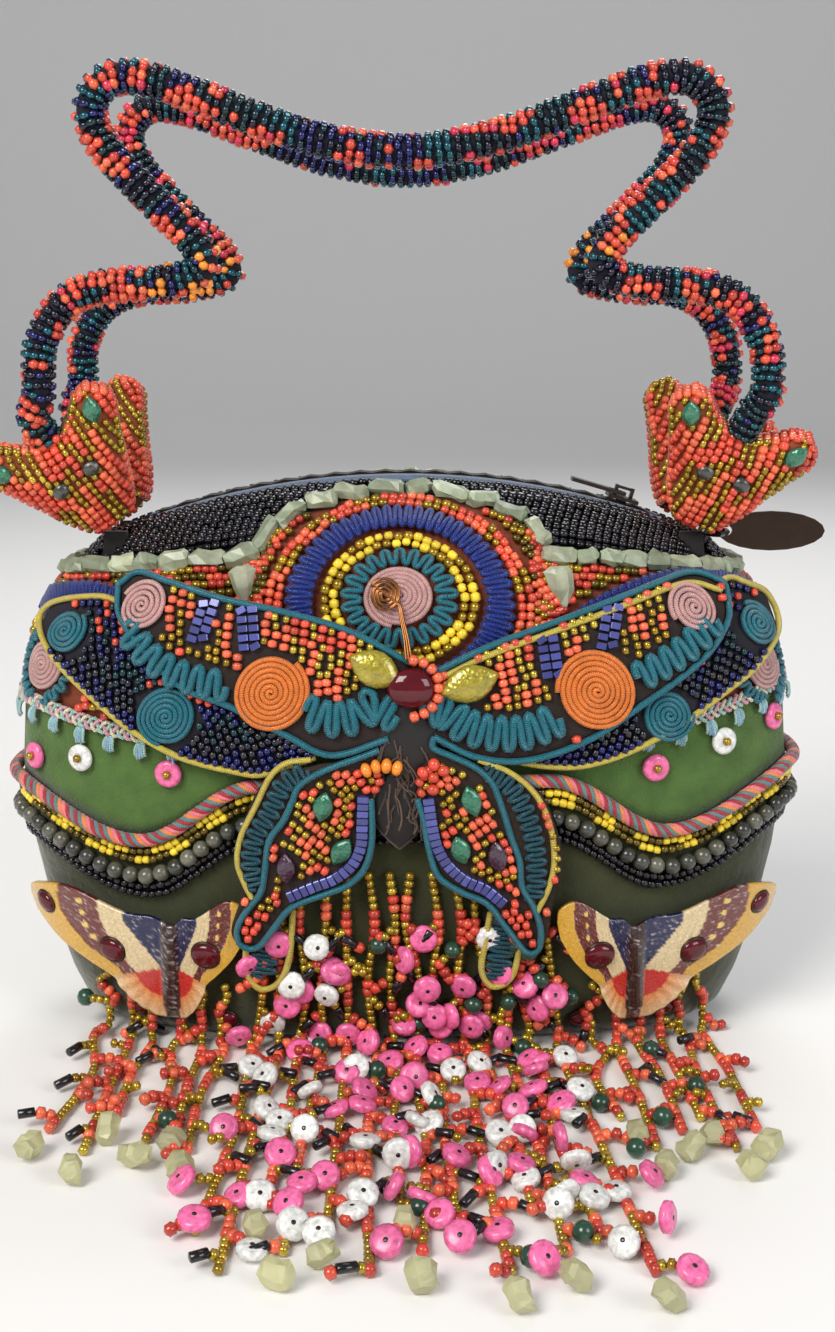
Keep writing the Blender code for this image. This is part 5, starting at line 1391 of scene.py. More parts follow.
@dataclass
class BeadFields:
    """Rows of beads that cover the ground below the rim and the crown above it."""

    pitch: float = 2.45
    bead: float = 2.35
    front_clear: float = 37.6
    back_clear: float = 32.8
    corner_clear: float = 17.2
    band_clear: float = 4.9

    MIX = (Tint.CORAL, Tint.GOLD, Tint.CORAL_DEEP, Tint.GOLD_DARK, Tint.CORAL_PALE)

    @staticmethod
    def row(start: Array, drop: float, pitch: float) -> tuple[Array, Array]:
        """Angles and levels, a pitch apart, of the row that lies a distance below a line of levels."""
        level = BODY.climb(ROUND_ANGLES, start, -drop)
        points = BODY.point(ROUND_ANGLES, level)
        walked = walk_lengths(np.concatenate((points, points[:1])))
        even = np.arange(0, walked[-1] - pitch / 2, pitch)
        angle = np.interp(even, walked, np.append(ROUND_ANGLES, TAU))
        return angle, np.interp(angle, ROUND_ANGLES, level, period=TAU)

    @staticmethod
    def lay(heap: Heap, angle: Array, level: Array, height: float, tints: Array,
            size: float, rng: Rng) -> None:
        """Beads at angles and levels, their holes along the girth."""
        along = BODY.point(angle + 0.01, level) - BODY.point(angle - 0.01, level)
        line = Course(BODY.over(angle, level, height), unit(along), BODY.normal(angle, level))
        bead_row(heap, line, tints, size * 0.95, size, rng, jitter=0.07)

    def ground(self) -> None:
        """Rows counted down from the rim, left out where rosettes, wings or the braid cover them."""
        rng = np.random.default_rng(31)
        heap = Heap()
        rim = BODY.level_at(ROUND_ANGLES, BODY.rim(ROUND_ANGLES))
        corners = [BODY.front(side * CORNER_PLACE[0], CORNER_PLACE[1], 0.0) * (1, half, 1)
                   for side in (-1, 1) for half in (1, -1)]
        for row in range(32):
            angle, level = self.row(rim, 3.2 + row * self.pitch, self.bead)
            points = BODY.point(angle, level)
            keep = (points[:, 2] > BODY.braid(angle) + 3.0) & ~covered(points)
            if not keep.any():
                break
            keep &= FRONT_PLACE.reach(points) > self.front_clear
            keep &= BACK_PLACE.reach(points) > self.back_clear
            for corner in corners:
                keep &= np.linalg.norm(points - corner, axis=1) > self.corner_clear
            turned = points * np.where(points[:, 1:2] < 0, (1, 1, 1), (-1, -1, 1))
            for band in Rosettes.BANDS:
                middle = BODY.front_course(smooth_line(band, 1.0), 0.0).points
                gaps = np.linalg.norm(turned[:, None] - middle[None], axis=2)
                keep &= gaps.min(axis=1) > self.band_clear
            tints = runs(rng, len(angle), self.MIX, (1, 4))
            self.lay(heap, angle[keep], level[keep], 1.3, tints[keep], 2.6, rng)
        show(heap, "ground_beads", Look.SEED, "coral_gold_beads")

    def crown(self) -> None:
        """Rows of black beads, counted down from the mouth to the chip border."""
        rng = np.random.default_rng(32)
        heap = Heap()
        top = np.full(ROUND_ANGLES.shape, float(BODY.top))
        for row in range(14):
            angle, level = self.row(top, 3.4 + row * self.pitch, self.pitch)
            points = BODY.point(angle, level)
            keep = points[:, 2] > BODY.rim(angle) + 2.2
            keep &= np.hypot((np.abs(points[:, 0]) - 83.5) / 5.2, (np.abs(points[:, 1]) - 12.5) / 3.2) > 1
            tints = runs(rng, len(angle), BLACK_MIX, (1, 5))
            self.lay(heap, angle[keep], level[keep], 1.1, tints[keep], 2.65, rng)
        show(heap, "crown_beads", Look.JET, "black_beads")

    def chips(self) -> None:
        """Irregular chips end to end along the rim, and a hanging one at each foot of the arch."""
        rng = np.random.default_rng(33)
        heap = Heap()
        line = BODY.ring(BODY.rim, 0.0, 2.6, 1.0)
        walked = walk_lengths(line.points)
        lengths = rng.uniform(6.0, 11.5, 110)
        ends = np.cumsum(lengths)
        ends = ends[ends < walked[-1] - 3]
        lengths = lengths[:len(ends)]
        spots = line.pick(np.searchsorted(walked, ends - lengths / 2))
        size = np.stack((lengths * 0.98, rng.uniform(4.6, 6.0, len(ends)), rng.uniform(3.8, 4.8, len(ends))),
                        axis=1)
        skew = spots.along + rng.normal(0, 0.22, (len(ends), 1)) * spots.across()
        roll = unit(spots.up + rng.normal(0, 0.5, (len(ends), 1)) * spots.across())
        picks = palette(Tint.PALE_STONE, Tint.PALE_LIGHT)[rng.integers(0, 2, len(ends))]
        heap.scatter(CHIP, spots.points, skew, roll, size, vary(rng, picks, 0.12))
        feet = BODY.front_course(((-44.0, 136.0), (-44.2, 132.0), (43.5, 136.0), (43.7, 132.0)), 2.7)
        heap.scatter(POINTED, feet.points[::2], (0.12, 0, -1.0), feet.up[::2], (12.0, 8.0, 5.0),
                     Tint.PALE_LIGHT.rgba())
        heap.points = [points + rng.normal(0, 0.34, points.shape) for points in heap.points]
        show(heap, "rim_chips", Look.STONE, "pale_stone", "chip_border", flat=True)

    def build(self) -> None:
        """Ground, crown and chips."""
        self.ground()
        self.crown()
        self.chips()


@dataclass
class Handle:
    """A rope handle wound with rings of beads, held by a stuffed, beaded head at each end."""

    name: str
    front: int
    core: float = 3.5
    reach: float = 3.85
    ring_pitch: float = 2.6
    bead_pitch: float = 2.45
    head_length: float = 33.0
    head_span: float = 22.0
    head_thick: float = 7.4
    snout: float = 0.22
    snout_thick: float = 0.62
    notch: float = 0.9
    row_pitch: float = 2.35
    bead_length: float = 2.25
    wide_bead: float = 2.75
    small_bead: float = 1.9
    beads_at: float = 0.7
    shift: float = 0.16
    hinge: tuple[float, float, float] = (83.5, 12.5, 150.0)
    rope_y: float = 30.0
    lean: float = 22.0
    tilts: tuple[float, float] = (33.0, 23.0)

    ROUTE = ((-100, 190), (-99, 203), (-92, 214), (-81, 218.5), (-66, 219.5), (-54, 223), (-56.5, 230.5),
             (-68, 242), (-79, 254), (-83, 264.5), (-77, 272), (-66, 271.5), (-54, 267.5), (-39, 262),
             (-22, 256.5), (0, 253.5))
    GEMS = ((-16.0, 0.86, 8.2, 4.6, Tint.GREEN_FOIL), (15.5, 0.88, 8.2, 4.6, Tint.GREEN_FOIL),
            (-5.2, 0.60, 4.6, 4.6, Tint.GREY_DARK), (5.6, 0.62, 4.6, 4.6, Tint.GREY_DARK))

    @property
    def body(self) -> str:
        """The body of the frame that it rides."""
        return f"{self.name}_handle"

    def head_frame(self, side: int) -> tuple[Array, ...]:
        """A snout's place and the head's directions: along it, across it and out of its show face."""
        lean = math.radians(self.lean)
        turn = math.radians(self.tilts[0] if side < 0 else self.tilts[1]) * side
        along = np.array((math.sin(turn) * math.cos(lean), self.front * math.sin(lean),
                          math.cos(turn) * math.cos(lean)))
        across = np.array((math.cos(turn), 0.0, -math.sin(turn)))
        out = unit(np.cross(across, along)) * -self.front
        rise = (self.snout * self.head_span * abs(math.sin(turn)) + 0.3 * self.head_thick * abs(out[2]))
        x, y, z = self.hinge
        return np.array((side * x, self.front * y, z + rise)), along, across, out

    def head_point(self, side: int, wide: Array, up: Array, depth: Array) -> Array:
        """A point of a head: snout + wide across + up along + depth out."""
        start, along, across, out = self.head_frame(side)
        return start + wide[..., None] * across + up[..., None] * along + depth[..., None] * out

    def width(self, climb: Array) -> Array:
        """Half width of a head, growing from the snout to the ears."""
        return self.head_span * np.interp(climb, (0, 0.1, 0.25, 0.5, 0.75, 0.9, 1.0),
                                          (self.snout, 0.37, 0.5, 0.66, 0.84, 0.97, 0.95))

    def pillow(self, share: Array, climb: Array) -> tuple[Array, ...]:
        """Width, height and half thickness of a head at shares across (-1 to 1) and up it (0 to 1).

        Formula: the top edge dips between two round ears; the thickness falls as the root of
        1 - share^4 and of 1 - climb^8, and is less at the snout.
        """
        top = np.interp(np.abs(share), (0, 0.18, 0.4, 0.62, 0.82, 1.0),
                        (self.notch, 0.9, 0.98, 1.1, 1.13, 1.02))
        thick = self.head_thick * np.interp(climb, (0, 0.5, 1), (self.snout_thick, 1, 1))
        thick = (thick * np.sqrt(np.maximum(0, 1 - np.abs(share) ** 4))
                 * np.sqrt(np.maximum(0, 1 - climb ** 8)) * np.clip(climb / 0.06, 0, 1) ** 0.5)
        return share * self.width(climb), self.head_length * climb * top, thick

    def build_head(self, side: int) -> None:
        """The stuffed pillow, its bead rows from snout to ears, two ear stones and two eyes."""
        mark = "left" if side < 0 else "right"
        rng = np.random.default_rng(41 + side + 5 * self.front)
        share = np.sin(np.linspace(-math.pi / 2, math.pi / 2, 33))[:, None]
        climb = (1 - np.cos(np.linspace(0, math.pi, 33)))[None, :] / 2
        share, climb = np.broadcast_arrays(share, climb)
        wide, up, thick = self.pillow(share, climb)
        thick = np.maximum(thick, 0.15)
        heap = Heap()
        heap.plate(self.head_point(side, wide, up, thick), self.head_point(side, wide, up, -thick),
                   screen(130, 62, 34))
        pad = show(heap, f"head_{self.name}_{mark}_pad", Look.GROUND, "head_beads",
                   f"head_{self.name}_{mark}", body=self.body)
        beads = Heap()
        for face in (1, -1):
            for row in range(-8, 9):
                self.head_row(beads, side, row, face, rng)
        self.head_rims(beads, side, rng)
        show(beads, f"head_{self.name}_{mark}_beads", Look.SEED, "head_beads", body=self.body)
        self.stones(side, mark)

    def head_row(self, beads: Heap, side: int, row: int, face: int, rng: Rng) -> None:
        """A row of beads up one face, a set distance from its middle line.

        Args:
            beads: where they go.
            side: which head.
            row: its number, counted from the middle line.
            face: 1 for the show face, -1 for the other.
            rng: source of the draws.
        """
        away = self.row_pitch * row
        steps = np.linspace(0.03, 0.99, 90)
        steps = steps[self.width(steps) > abs(away) + 0.6]
        if len(steps) < 8:
            return
        wide, up, thick = self.pillow(away / self.width(steps), steps)
        out = self.head_frame(side)[3] * face
        points = self.head_point(side, wide, up, face * (thick + self.beads_at))
        line = even_course(course(points, np.broadcast_to(out, points.shape)), 2.2)
        keep = np.ones(len(line.points), bool)
        if face > 0:
            for spot, climb, long, _, _ in self.GEMS:
                gem = self.on_face(side, spot, climb, self.beads_at)
                gap = np.linalg.norm(line.points - gem, axis=1)
                keep &= gap > long * 0.42
        line = line.pick(keep)
        mix = (Tint.GOLD_LIGHT, Tint.GOLD, Tint.CORAL) if row % 5 in (1, 2) else HEAD_MIX
        tints = runs(rng, len(line.points), mix, (2, 5))
        width = np.where(tints[:, 3] > 0, self.small_bead, self.wide_bead)[:, None]
        shift = rng.normal(0, self.shift, width.shape) * line.across()
        size = width * (0, 1, 1) + (self.bead_length, 0, 0)
        beads.scatter(SEED, line.points + shift, line.along, line.up,
                      size * (1 + rng.normal(0, 0.05, width.shape)), tints)

    def head_rims(self, beads: Heap, side: int, rng: Rng) -> None:
        """Rows of coral and gold beads round the head's edge, over the ears and down both sides."""
        climbs = np.linspace(0.03, 1.0, 60)
        shares = np.linspace(1, -1, 120)
        share = np.concatenate((np.ones(60), shares, -np.ones(60)))
        climb = np.concatenate((climbs, np.ones(120), climbs[::-1]))
        wide, up, _ = self.pillow(share, climb)
        middle = self.head_point(side, np.zeros(1), np.full(1, 0.55 * self.head_length), np.zeros(1))
        for depth in (-2.1, 0.0, 2.1):
            points = self.head_point(side, wide, up, np.full(240, depth))
            line = even_course(course(points, unit(points - middle)), 2.3)
            tints = runs(rng, len(line.points), HEAD_MIX, (3, 6))
            bead_row(beads, line, tints, 2.25, 2.65, rng)

    def on_face(self, side: int, spot: float, climb: float, lift: float) -> Array:
        """A point on a head's show face, a distance from its middle line and a share up it."""
        share = spot / self.width(np.array(climb))
        wide, up, thick = self.pillow(share, np.array(climb))
        return self.head_point(side, wide, up, thick + lift)

    def stones(self, side: int, mark: str) -> None:
        """Pointed foil stones in the ears and round dark eyes, on the show face."""
        foil = Heap()
        _, along, across, out = self.head_frame(side)
        for spot, climb, long, wide, tint in self.GEMS:
            centre = self.on_face(side, spot, climb, 1.0)
            shape = DOME if long == wide else NAVETTE
            way = along + across * spot * 0.03
            foil.scatter(shape, centre[None], out[None], way[None], (2.8, wide * 1.15, long), tint.rgba())
        show(foil, f"head_{self.name}_{mark}_stones", Look.FOIL, "head_beads", body=self.body)

    def rope_line(self) -> Course:
        """The rope's middle line, from one head's notch over the top to the other's."""
        ends = []
        for side in (-1, 1):
            start, along, _, _ = self.head_frame(side)
            foot = start + along * (self.notch * self.head_length + 0.8)
            ends.append([foot, foot + along * 7.5])
        right = [(-x, z) for x, z in reversed(self.ROUTE[:-1])]
        route = [(x, self.front * self.rope_y, z) for x, z in (*self.ROUTE, *right)]
        points = smooth_line([*ends[0], *route, *reversed(ends[1])], 1.0)
        return course(points, np.broadcast_to((0.0, 1.0, 0.0), points.shape))

    def build_rope(self) -> None:
        """The core and its rings of beads.

        Formula: ring k stands a pitch further along; bead j of it is turned by j and by a slow
        drift, so that the beads lie in loose spirals; its hole runs round the rope.
        """
        rng = np.random.default_rng(51 + self.front)
        line = self.rope_line()
        core = Heap()
        core.cord(line, self.core, screen(14, 16, 30), sides=8)
        show(core, f"handle_{self.name}_core", Look.GROUND, "rope_beads", f"handle_{self.name}",
             body=self.body)
        rings = even_course(line, self.ring_pitch)
        count = round(TAU * self.reach / self.bead_pitch)
        drift = np.cumsum(rng.normal(0.18, 0.12, len(rings.points)))
        turn = drift[:, None] + np.arange(count)[None, :] * TAU / count
        across = rings.across()[:, None]
        up = np.cross(rings.along, rings.across())[:, None]
        away = across * np.cos(turn)[..., None] + up * np.sin(turn)[..., None]
        round_ = -across * np.sin(turn)[..., None] + up * np.cos(turn)[..., None]
        centre = rings.points[:, None] + away * self.reach
        centre = centre + rings.along[:, None] * rng.normal(0, 0.22, (*turn.shape, 1))
        tints, coral = self.rope_tints(rng, len(rings.points), turn)
        size = np.where(coral[..., None], (2.5, 2.85, 2.85), (2.45, 2.3, 2.3))
        size = size * (1 + rng.normal(0, 0.05, (*turn.shape, 1)))
        beads = Heap()
        beads.scatter(RING_SEED, centre.reshape(-1, 3), round_.reshape(-1, 3), away.reshape(-1, 3),
                      size.reshape(-1, 3), tints.reshape(-1, 4))
        show(beads, f"handle_{self.name}_beads", Look.SEED, "rope_beads", body=self.body)

    def rope_tints(self, rng: Rng, rings: int, turn: Array) -> tuple:
        """Navy and teal rings with many patches of coral, and amber at the left elbow.

        Returns:
            The colours (rings, beads, 4), and which beads are coral or amber.
        """
        dark = palette(Tint.NAVY, Tint.NAVY_DARK, Tint.TEAL_METAL, Tint.TEAL_DARK)
        run = np.repeat(rng.integers(0, 4, rings), rng.integers(1, 4, rings))[:rings]
        tints = np.broadcast_to(dark[run][:, None], (rings, turn.shape[1], 4)).copy()
        mixed = rng.random(turn.shape) < 0.3
        tints[mixed] = dark[rng.integers(0, 4, mixed.sum())]
        coral = rng.random(turn.shape) < 0.07
        ring = np.arange(rings)[:, None]
        for _ in range(105):
            middle, angle = rng.uniform(0, rings), rng.uniform(0, TAU)
            width, height = rng.uniform(0.9, 2.2), rng.uniform(0.4, 1.0)
            gap = np.abs((turn - angle + math.pi) % TAU - math.pi)
            coral |= ((ring - middle) / width) ** 2 + (gap / height) ** 2 < 1
        warm = palette(Tint.CORAL, Tint.CORAL_PALE, Tint.CORAL_DEEP, Tint.RASPBERRY)
        odds = (0.55, 0.2, 0.17, 0.08) if self.front < 0 else (0.4, 0.1, 0.2, 0.3)
        picks = rng.choice(4, turn.shape, p=odds)
        tints[coral] = warm[picks[coral]]
        amber = (np.abs(ring - 0.17 * rings) < 4) & (rng.random(turn.shape) < 0.3)
        amber |= (np.abs(ring - 0.8 * rings) < 2) & (rng.random(turn.shape) < 0.2)
        tints[amber] = Tint.AMBER.rgba()
        return vary(rng, tints.reshape(-1, 4), 0.15).reshape(tints.shape), coral | amber

    def build(self) -> None:
        """The rope and both heads."""
        self.build_rope()
        for side in (-1, 1):
            self.build_head(side)


# Butterfly

def heading(turn: float) -> Array:
    """The flat direction at a turn in degrees."""
    return np.array((math.cos(math.radians(turn)), math.sin(math.radians(turn))))


def set_stone(heap: Heap, x: float, z: float, long: float, wide: float, turn: float, base: float,
              rise: float, tint: Tint) -> None:
    """Set a domed stone on the front: pointed at both ends if it is longer than wide.

    Args:
        heap: where it goes.
        x, z: its place.
        long, wide: its size.
        turn: its long axis, in degrees from the right-hand side.
        base: height of its middle above the surface.
        rise: its thickness.
        tint: its colour.
    """
    line = BODY.front_course(((x, z), (x, z) + heading(turn)), base)
    shape = DOME if long == wide else NAVETTE
    heap.scatter(shape, line.points[:1], line.up[:1], line.along[:1], (rise, wide * 1.2, long), tint.rgba())


@dataclass
class Butterfly:
    """Six wings of cords, beads and stones, a ruby body and a wire antenna."""

    cord: float = 0.95
    cloth: tuple[float, float] = (6.1, 7.2)
    rear_cloth: tuple[float, float] = (4.0, 5.0)
    beads_at: float = 8.0
    rear_beads_at: float = 5.9
    column_pitch: float = 2.5
    small_pitch: float = 2.25
    bead_pitch: float = 2.2
    bead_length: float = 2.15
    wide_bead: float = 3.0
    small_bead: float = 2.3
    edge_gap: float = 1.6
    shortest: float = 2.6
    shift: float = 0.28
    coil_gap: float = 1.3
    rear_coil_gap: float = 1.2

    MIDDLE_COVERS = [((2.5, 110.5), 7.2), ((-7.0, 115.3), 5.6), ((18.5, 112.0), 6.4)]
    RUFFLES = {
        "front_wing_left": (((-74.5, 124.5), (-69, 118), (-62.5, 113.8), (-55, 111.5), (-47.5, 110.2)),
                            ((-26.5, 104.5), (-20, 102.3), (-13, 103), (-7.5, 106), (-1.5, 103))),
        "front_wing_right": (((84, 125), (77, 119.5), (70, 115.3), (63, 112)),
                             ((5.5, 104.5), (11, 104.5), (17, 100.5), (24, 98.5), (33, 98.6), (42, 102))),
    }
    COLUMNS = {"front_wing_left": ((-55.0, 126.5, 70.0), (-43.0, 125.0, 95.0)),
               "front_wing_right": ((38.0, 118.0, 100.0), (54.0, 125.0, 80.0))}
    BANDS = {
        "hind_wing_left": ((-26, 88.3), (-32.2, 84.5), (-36.2, 76.5), (-40.6, 69), (-41.9, 61), (-40.6, 54)),
        "hind_wing_right": ((22.5, 88.8), (29.5, 83.5), (33.6, 76), (36, 67.5), (36.8, 58), (36.2, 50.5)),
    }
    CORDS = {
        "hind_wing_left": (
            ((-6.5, 94), (-11.6, 92), (-18.6, 89.5), (-24, 87), (-28.3, 84), (-30.2, 79.5), (-32.8, 74),
             (-36.6, 68.5), (-38, 60), (-39.4, 53), (-43.6, 47), (-46, 42), (-45.8, 37.5), (-43, 35.8),
             (-39.8, 37), (-35.5, 43), (-30.8, 48.8), (-22.3, 52.6), (-15.5, 55.5), (-10.7, 60.5), (-8.7, 68),
             (-8.6, 76), (-8.8, 80.5)),
            ((-25, 91.3), (-31.5, 90.3), (-36, 86.5), (-40, 78.5), (-44.3, 69.5), (-45.6, 62), (-44, 56),
             (-41.8, 51))),
        "hind_wing_right": (
            ((8.5, 97.5), (8.3, 94.6), (13.2, 92.3), (19.6, 89.2), (24.2, 85), (27, 78), (29.6, 69.5),
             (32, 62.5), (32.8, 55), (36.2, 48.5), (38.2, 41.5), (37.6, 35.8), (34.3, 35), (29, 42.2),
             (23.4, 49.8), (16.4, 53.4), (10, 58), (7.3, 65.5), (5.6, 75), (4, 80.5)),
            ((20.5, 91.3), (29.2, 87.6), (36.2, 81.3), (40.2, 72.5), (41.5, 62.5), (40.2, 54.5), (37, 47))),
    }
    TUBES = {
        "hind_wing_left": ((-10.9, 80.5), (-11.2, 73), (-11.6, 67), (-14.2, 61.5), (-19, 57.5), (-25, 55),
                           (-31, 52.2)),
        "hind_wing_right": ((7.0, 80), (8.0, 73), (9.4, 67), (12.4, 61.5), (17, 57.2), (22.5, 54.5),
                            (27.2, 50.5)),
    }
    TAILS = {
        "hind_wing_left": ((-31.0, 46.5), (-32.3, 32), (-35.4, 24), (-40.8, 21.6), (-44.6, 26.5),
                           (-44.6, 34.5)),
        "hind_wing_right": ((24.5, 46), (23.0, 36), (22.2, 28), (25.4, 22.8), (30.8, 26), (33.4, 38)),
    }
    GEMS = {
        "hind_wing_left": ((-21.8, 78.4, 9.0, 4.8, 78.0), (-17.0, 65.6, 9.0, 4.8, 58.0),
                           (-32.2, 60.5, 9.5, 4.6, 92.0)),
        "hind_wing_right": ((18.7, 80.0, 9.5, 4.8, 108.0), (15.8, 66.0, 9.0, 4.8, 108.0),
                            (26.0, 64.0, 10.0, 4.6, 100.0)),
    }

    KNOTS = ((((-9.9, 88.6), (-7.3, 89.6), (-4.5, 89.8), (-1.7, 89.0)), Tint.AMBER, 0.08, 2.8, 4.3),
             (((5.6, 88.0), (8.4, 90.6), (10.8, 88.6), (8.6, 86.6), (8.2, 83.4)), Tint.CORAL, 0.1, 3.0, 3.5))

    @staticmethod
    def plate(node: str, low: float, high: float, tint: Array) -> None:
        """The wing's cloth between its edges."""
        upper, lower = (edge_line(edge, 60) for edge in WING_EDGES[node])
        share = np.linspace(0, 1, 14)[None, :, None]
        flat = lower[:, None] * (1 - share) + upper[:, None] * share
        heap = Heap()
        heap.plate(BODY.front(flat[..., 0], flat[..., 1], high), BODY.front(flat[..., 0], flat[..., 1], low),
                   tint)
        show(heap, f"{node}_cloth", Look.GROUND, "teal_cord", node)

    @staticmethod
    def cord_line(heap: Heap, points: tuple | list, height: float, radius: float, tint: Tint) -> None:
        """A cord along a line of (x, z) points."""
        line = BODY.front_course(smooth_line(points, 0.8), height)
        heap.cord(line, radius, tint.rgba())

    def fill(self, heap: Heap, node: str, mix: tuple[Tint, ...], lengths: tuple[int, int], height: float,
             covers: list, rng: Rng, shear: float = 0.0, small: bool = False) -> None:
        """Bead columns from the lower edge to the upper one, left out near what covers them.

        Args:
            heap: where the beads go.
            node: the wing.
            mix: the tints in turn along each column.
            lengths: the shortest and longest run of a tint.
            height: height above the surface.
            covers: (places, clearance) of coils, ruffles and stones.
            rng: source of the draws.
            shear: how far a column's top stands further out along the wing.
            small: whether all beads are small ones.
        """
        upper, lower = (edge_line(edge, 300) for edge in WING_EDGES[node])
        pitch = self.small_pitch if small else self.column_pitch
        count = int(walk_lengths((upper + lower) / 2)[-1] / pitch)
        last = len(upper) - 1
        for column in range(1, count):
            share = column / count
            low = lower[min(last, max(0, int((share - shear / 2) * last)))]
            high = upper[min(last, max(0, int((share + shear / 2) * last)))]
            length = np.linalg.norm(high - low)
            number = int((length - self.shortest) / self.bead_pitch)
            if number < 1:
                continue
            gap = self.edge_gap / length
            steps = np.linspace(gap, 1 - gap, number + 1)[:, None]
            flat = low * (1 - steps) + high * steps
            line = BODY.front_course(flat, height)
            keep = np.ones(len(flat), bool)
            for places, clear in covers:
                gaps = np.linalg.norm(flat[:, None] - np.atleast_2d(places)[None], axis=2)
                keep &= gaps.min(axis=1) > clear
            line = line.pick(keep)
            tints = runs(rng, len(keep), mix, lengths)[keep]
            width = np.where((tints[:, 3] > 0) | small, self.small_bead, self.wide_bead)[:, None]
            shift = rng.normal(0, self.shift, width.shape) * line.across()
            size = width * (0, 1, 1) + (self.bead_length, 0, 0)
            heap.scatter(SEED, line.points + shift, line.along, line.up, size, tints)

    @staticmethod
    def coils(heap: Heap, spots: tuple, side: int, tints: tuple, base: float) -> None:
        """The coils of one side, each a flat spiral of wound cord."""
        for (x, z, radius), tint in zip((c for c in spots if c[0] * side > 0), tints):
            Rosette(Patch(x, z), 0).spiral(heap, radius, tint.rgba(), base)

    def rear(self, side: int, mark: str) -> None:
        """A rear wing: rows of navy and black beads, a yellow edge cord and two coils."""
        node = f"rear_wing_{mark}"
        rng = np.random.default_rng(61 + side)
        self.plate(node, *self.rear_cloth, screen(26, 24, 32))
        beads, cords = Heap(), Heap()
        covers = [((x, z), radius + self.rear_coil_gap)
                  for x, z, radius in REAR_COILS + FRONT_COILS if x * side > 0]
        mix = (Tint.NAVY, Tint.BLACK_SHEEN, Tint.NAVY_DARK, Tint.TEAL_DARK, Tint.NAVY, Tint.CORAL)
        self.fill(beads, node, mix, (1, 3), self.rear_beads_at, covers, rng, 0.14, True)
        show(beads, f"{node}_beads", Look.SEED, "black_beads")
        upper, lower = WING_EDGES[node]
        self.cord_line(cords, (*upper[3:], *lower[::-1]), 5.6, self.cord, Tint.YELLOW_CORD)
        self.coils(cords, REAR_COILS, side, (Tint.TEAL_CORD, Tint.TEAL_CORD), self.rear_beads_at)
        show(cords, f"{node}_cords", Look.CORD, "yellow_cord")

    def front(self, side: int, mark: str) -> None:
        """A front wing: bead columns, square tubes, its coils, the edge cord and two teal ruffles."""
        node = f"front_wing_{mark}"
        rng = np.random.default_rng(71 + side)
        self.plate(node, *self.cloth, screen(36, 24, 20))
        beads, tubes, cords = Heap(), Heap(), Heap()
        covers = [((x, z), radius + self.coil_gap) for x, z, radius in FRONT_COILS if x * side > 0]
        for line in self.RUFFLES[node]:
            line = smooth_line(line, 1.0)
            covers += [(line, 5.4), (line - (0.0, 5.5), 4.5), (line - (0.0, 11.0), 4.5)]
        covers += self.MIDDLE_COVERS
        for x, z, turn in self.COLUMNS[node]:
            column = np.array((x, z)) + heading(turn) * np.linspace(-4.5, 4.5, 5)[:, None]
            pair = np.concatenate((column, column + (3.0, 0.3)))
            covers.append((pair, 2.5))
            line = BODY.front_course(pair, self.beads_at)
            tubes.scatter(BOX, line.points, line.across(), line.up, (2.7, 1.9, 1.9),
                          shades(rng, Tint.PERIWINKLE, 0.2, 10))
        show(tubes, f"{node}_tubes", Look.SEED, "head_beads", flat=True)
        self.fill(beads, node, WING_MIX, (2, 5), self.beads_at, covers, rng, -0.05 * side)
        show(beads, f"{node}_beads", Look.SEED, "coral_gold_beads")
        upper, lower = WING_EDGES[node]
        self.cord_line(cords, upper, 7.9, self.cord, Tint.TEAL_CORD)
        if side > 0:
            self.cord_line(cords, [(x, z - 2.2) for x, z in upper[:-1]], 8.1, 0.9, Tint.YELLOW_CORD)
        self.cord_line(cords, (upper[-1], lower[-1], *lower[-2::-1]), 7.9, self.cord, Tint.TEAL_CORD)
        for line, half in zip(self.RUFFLES[node], (3.5, 4.2)):
            ruffled_cord(cords, line, 8.1, half, 4.4, Tint.TEAL_CORD, 1.2)
        self.coils(cords, FRONT_COILS, side, (Tint.ORANGE_CORD, Tint.MAUVE), 8.3)
        show(cords, f"{node}_cords", Look.CORD, "teal_cord")

    def hind(self, side: int, mark: str) -> None:
        """A hind wing: beads, tubes and stones within a teal cord, and a ruffle band outside it."""
        node = f"hind_wing_{mark}"
        rng = np.random.default_rng(81 + side)
        self.plate(node, *self.cloth, screen(42, 28, 20))
        beads, tubes, cords, stones = (Heap() for _ in range(4))
        gems = self.GEMS[node]
        covers = [((x, z), 3.4) for x, z, _, _, _ in gems]
        for x, z, long, _, turn in gems:
            way = heading(turn) * long * 0.3
            covers.append((np.array(((x, z) + way, (x, z) - way)), 2.3))
        inner, outer = self.CORDS[node]
        covers += [(smooth_line(line, 1.0), clear)
                   for line, clear in ((self.TUBES[node], 2.7), (self.BANDS[node], 4.6), (inner, 1.9))]
        self.fill(beads, node, WING_MIX, (1, 4), self.beads_at, covers, rng)
        show(beads, f"{node}_beads", Look.SEED, "coral_gold_beads")
        line = even_course(BODY.front_course(smooth_line(self.TUBES[node], 0.5), self.beads_at), 2.05)
        tubes.scatter(BOX, line.points, line.across(), line.up, (3.1, 1.85, 2.0),
                      shades(rng, Tint.PERIWINKLE, 0.2, len(line.points)))
        show(tubes, f"{node}_tubes", Look.SEED, "head_beads", flat=True)
        self.cord_line(cords, inner, 8.0, self.cord, Tint.TEAL_CORD)
        self.cord_line(cords, outer, 7.9, 0.85, Tint.YELLOW_CORD)
        ruffled_cord(cords, self.BANDS[node], 7.8, 2.4, 3.1, Tint.TEAL_CORD_DARK, 0.72)
        tail = self.TAILS[node]
        self.cord_line(cords, tail, 5.0, self.cord, Tint.YELLOW_CORD)
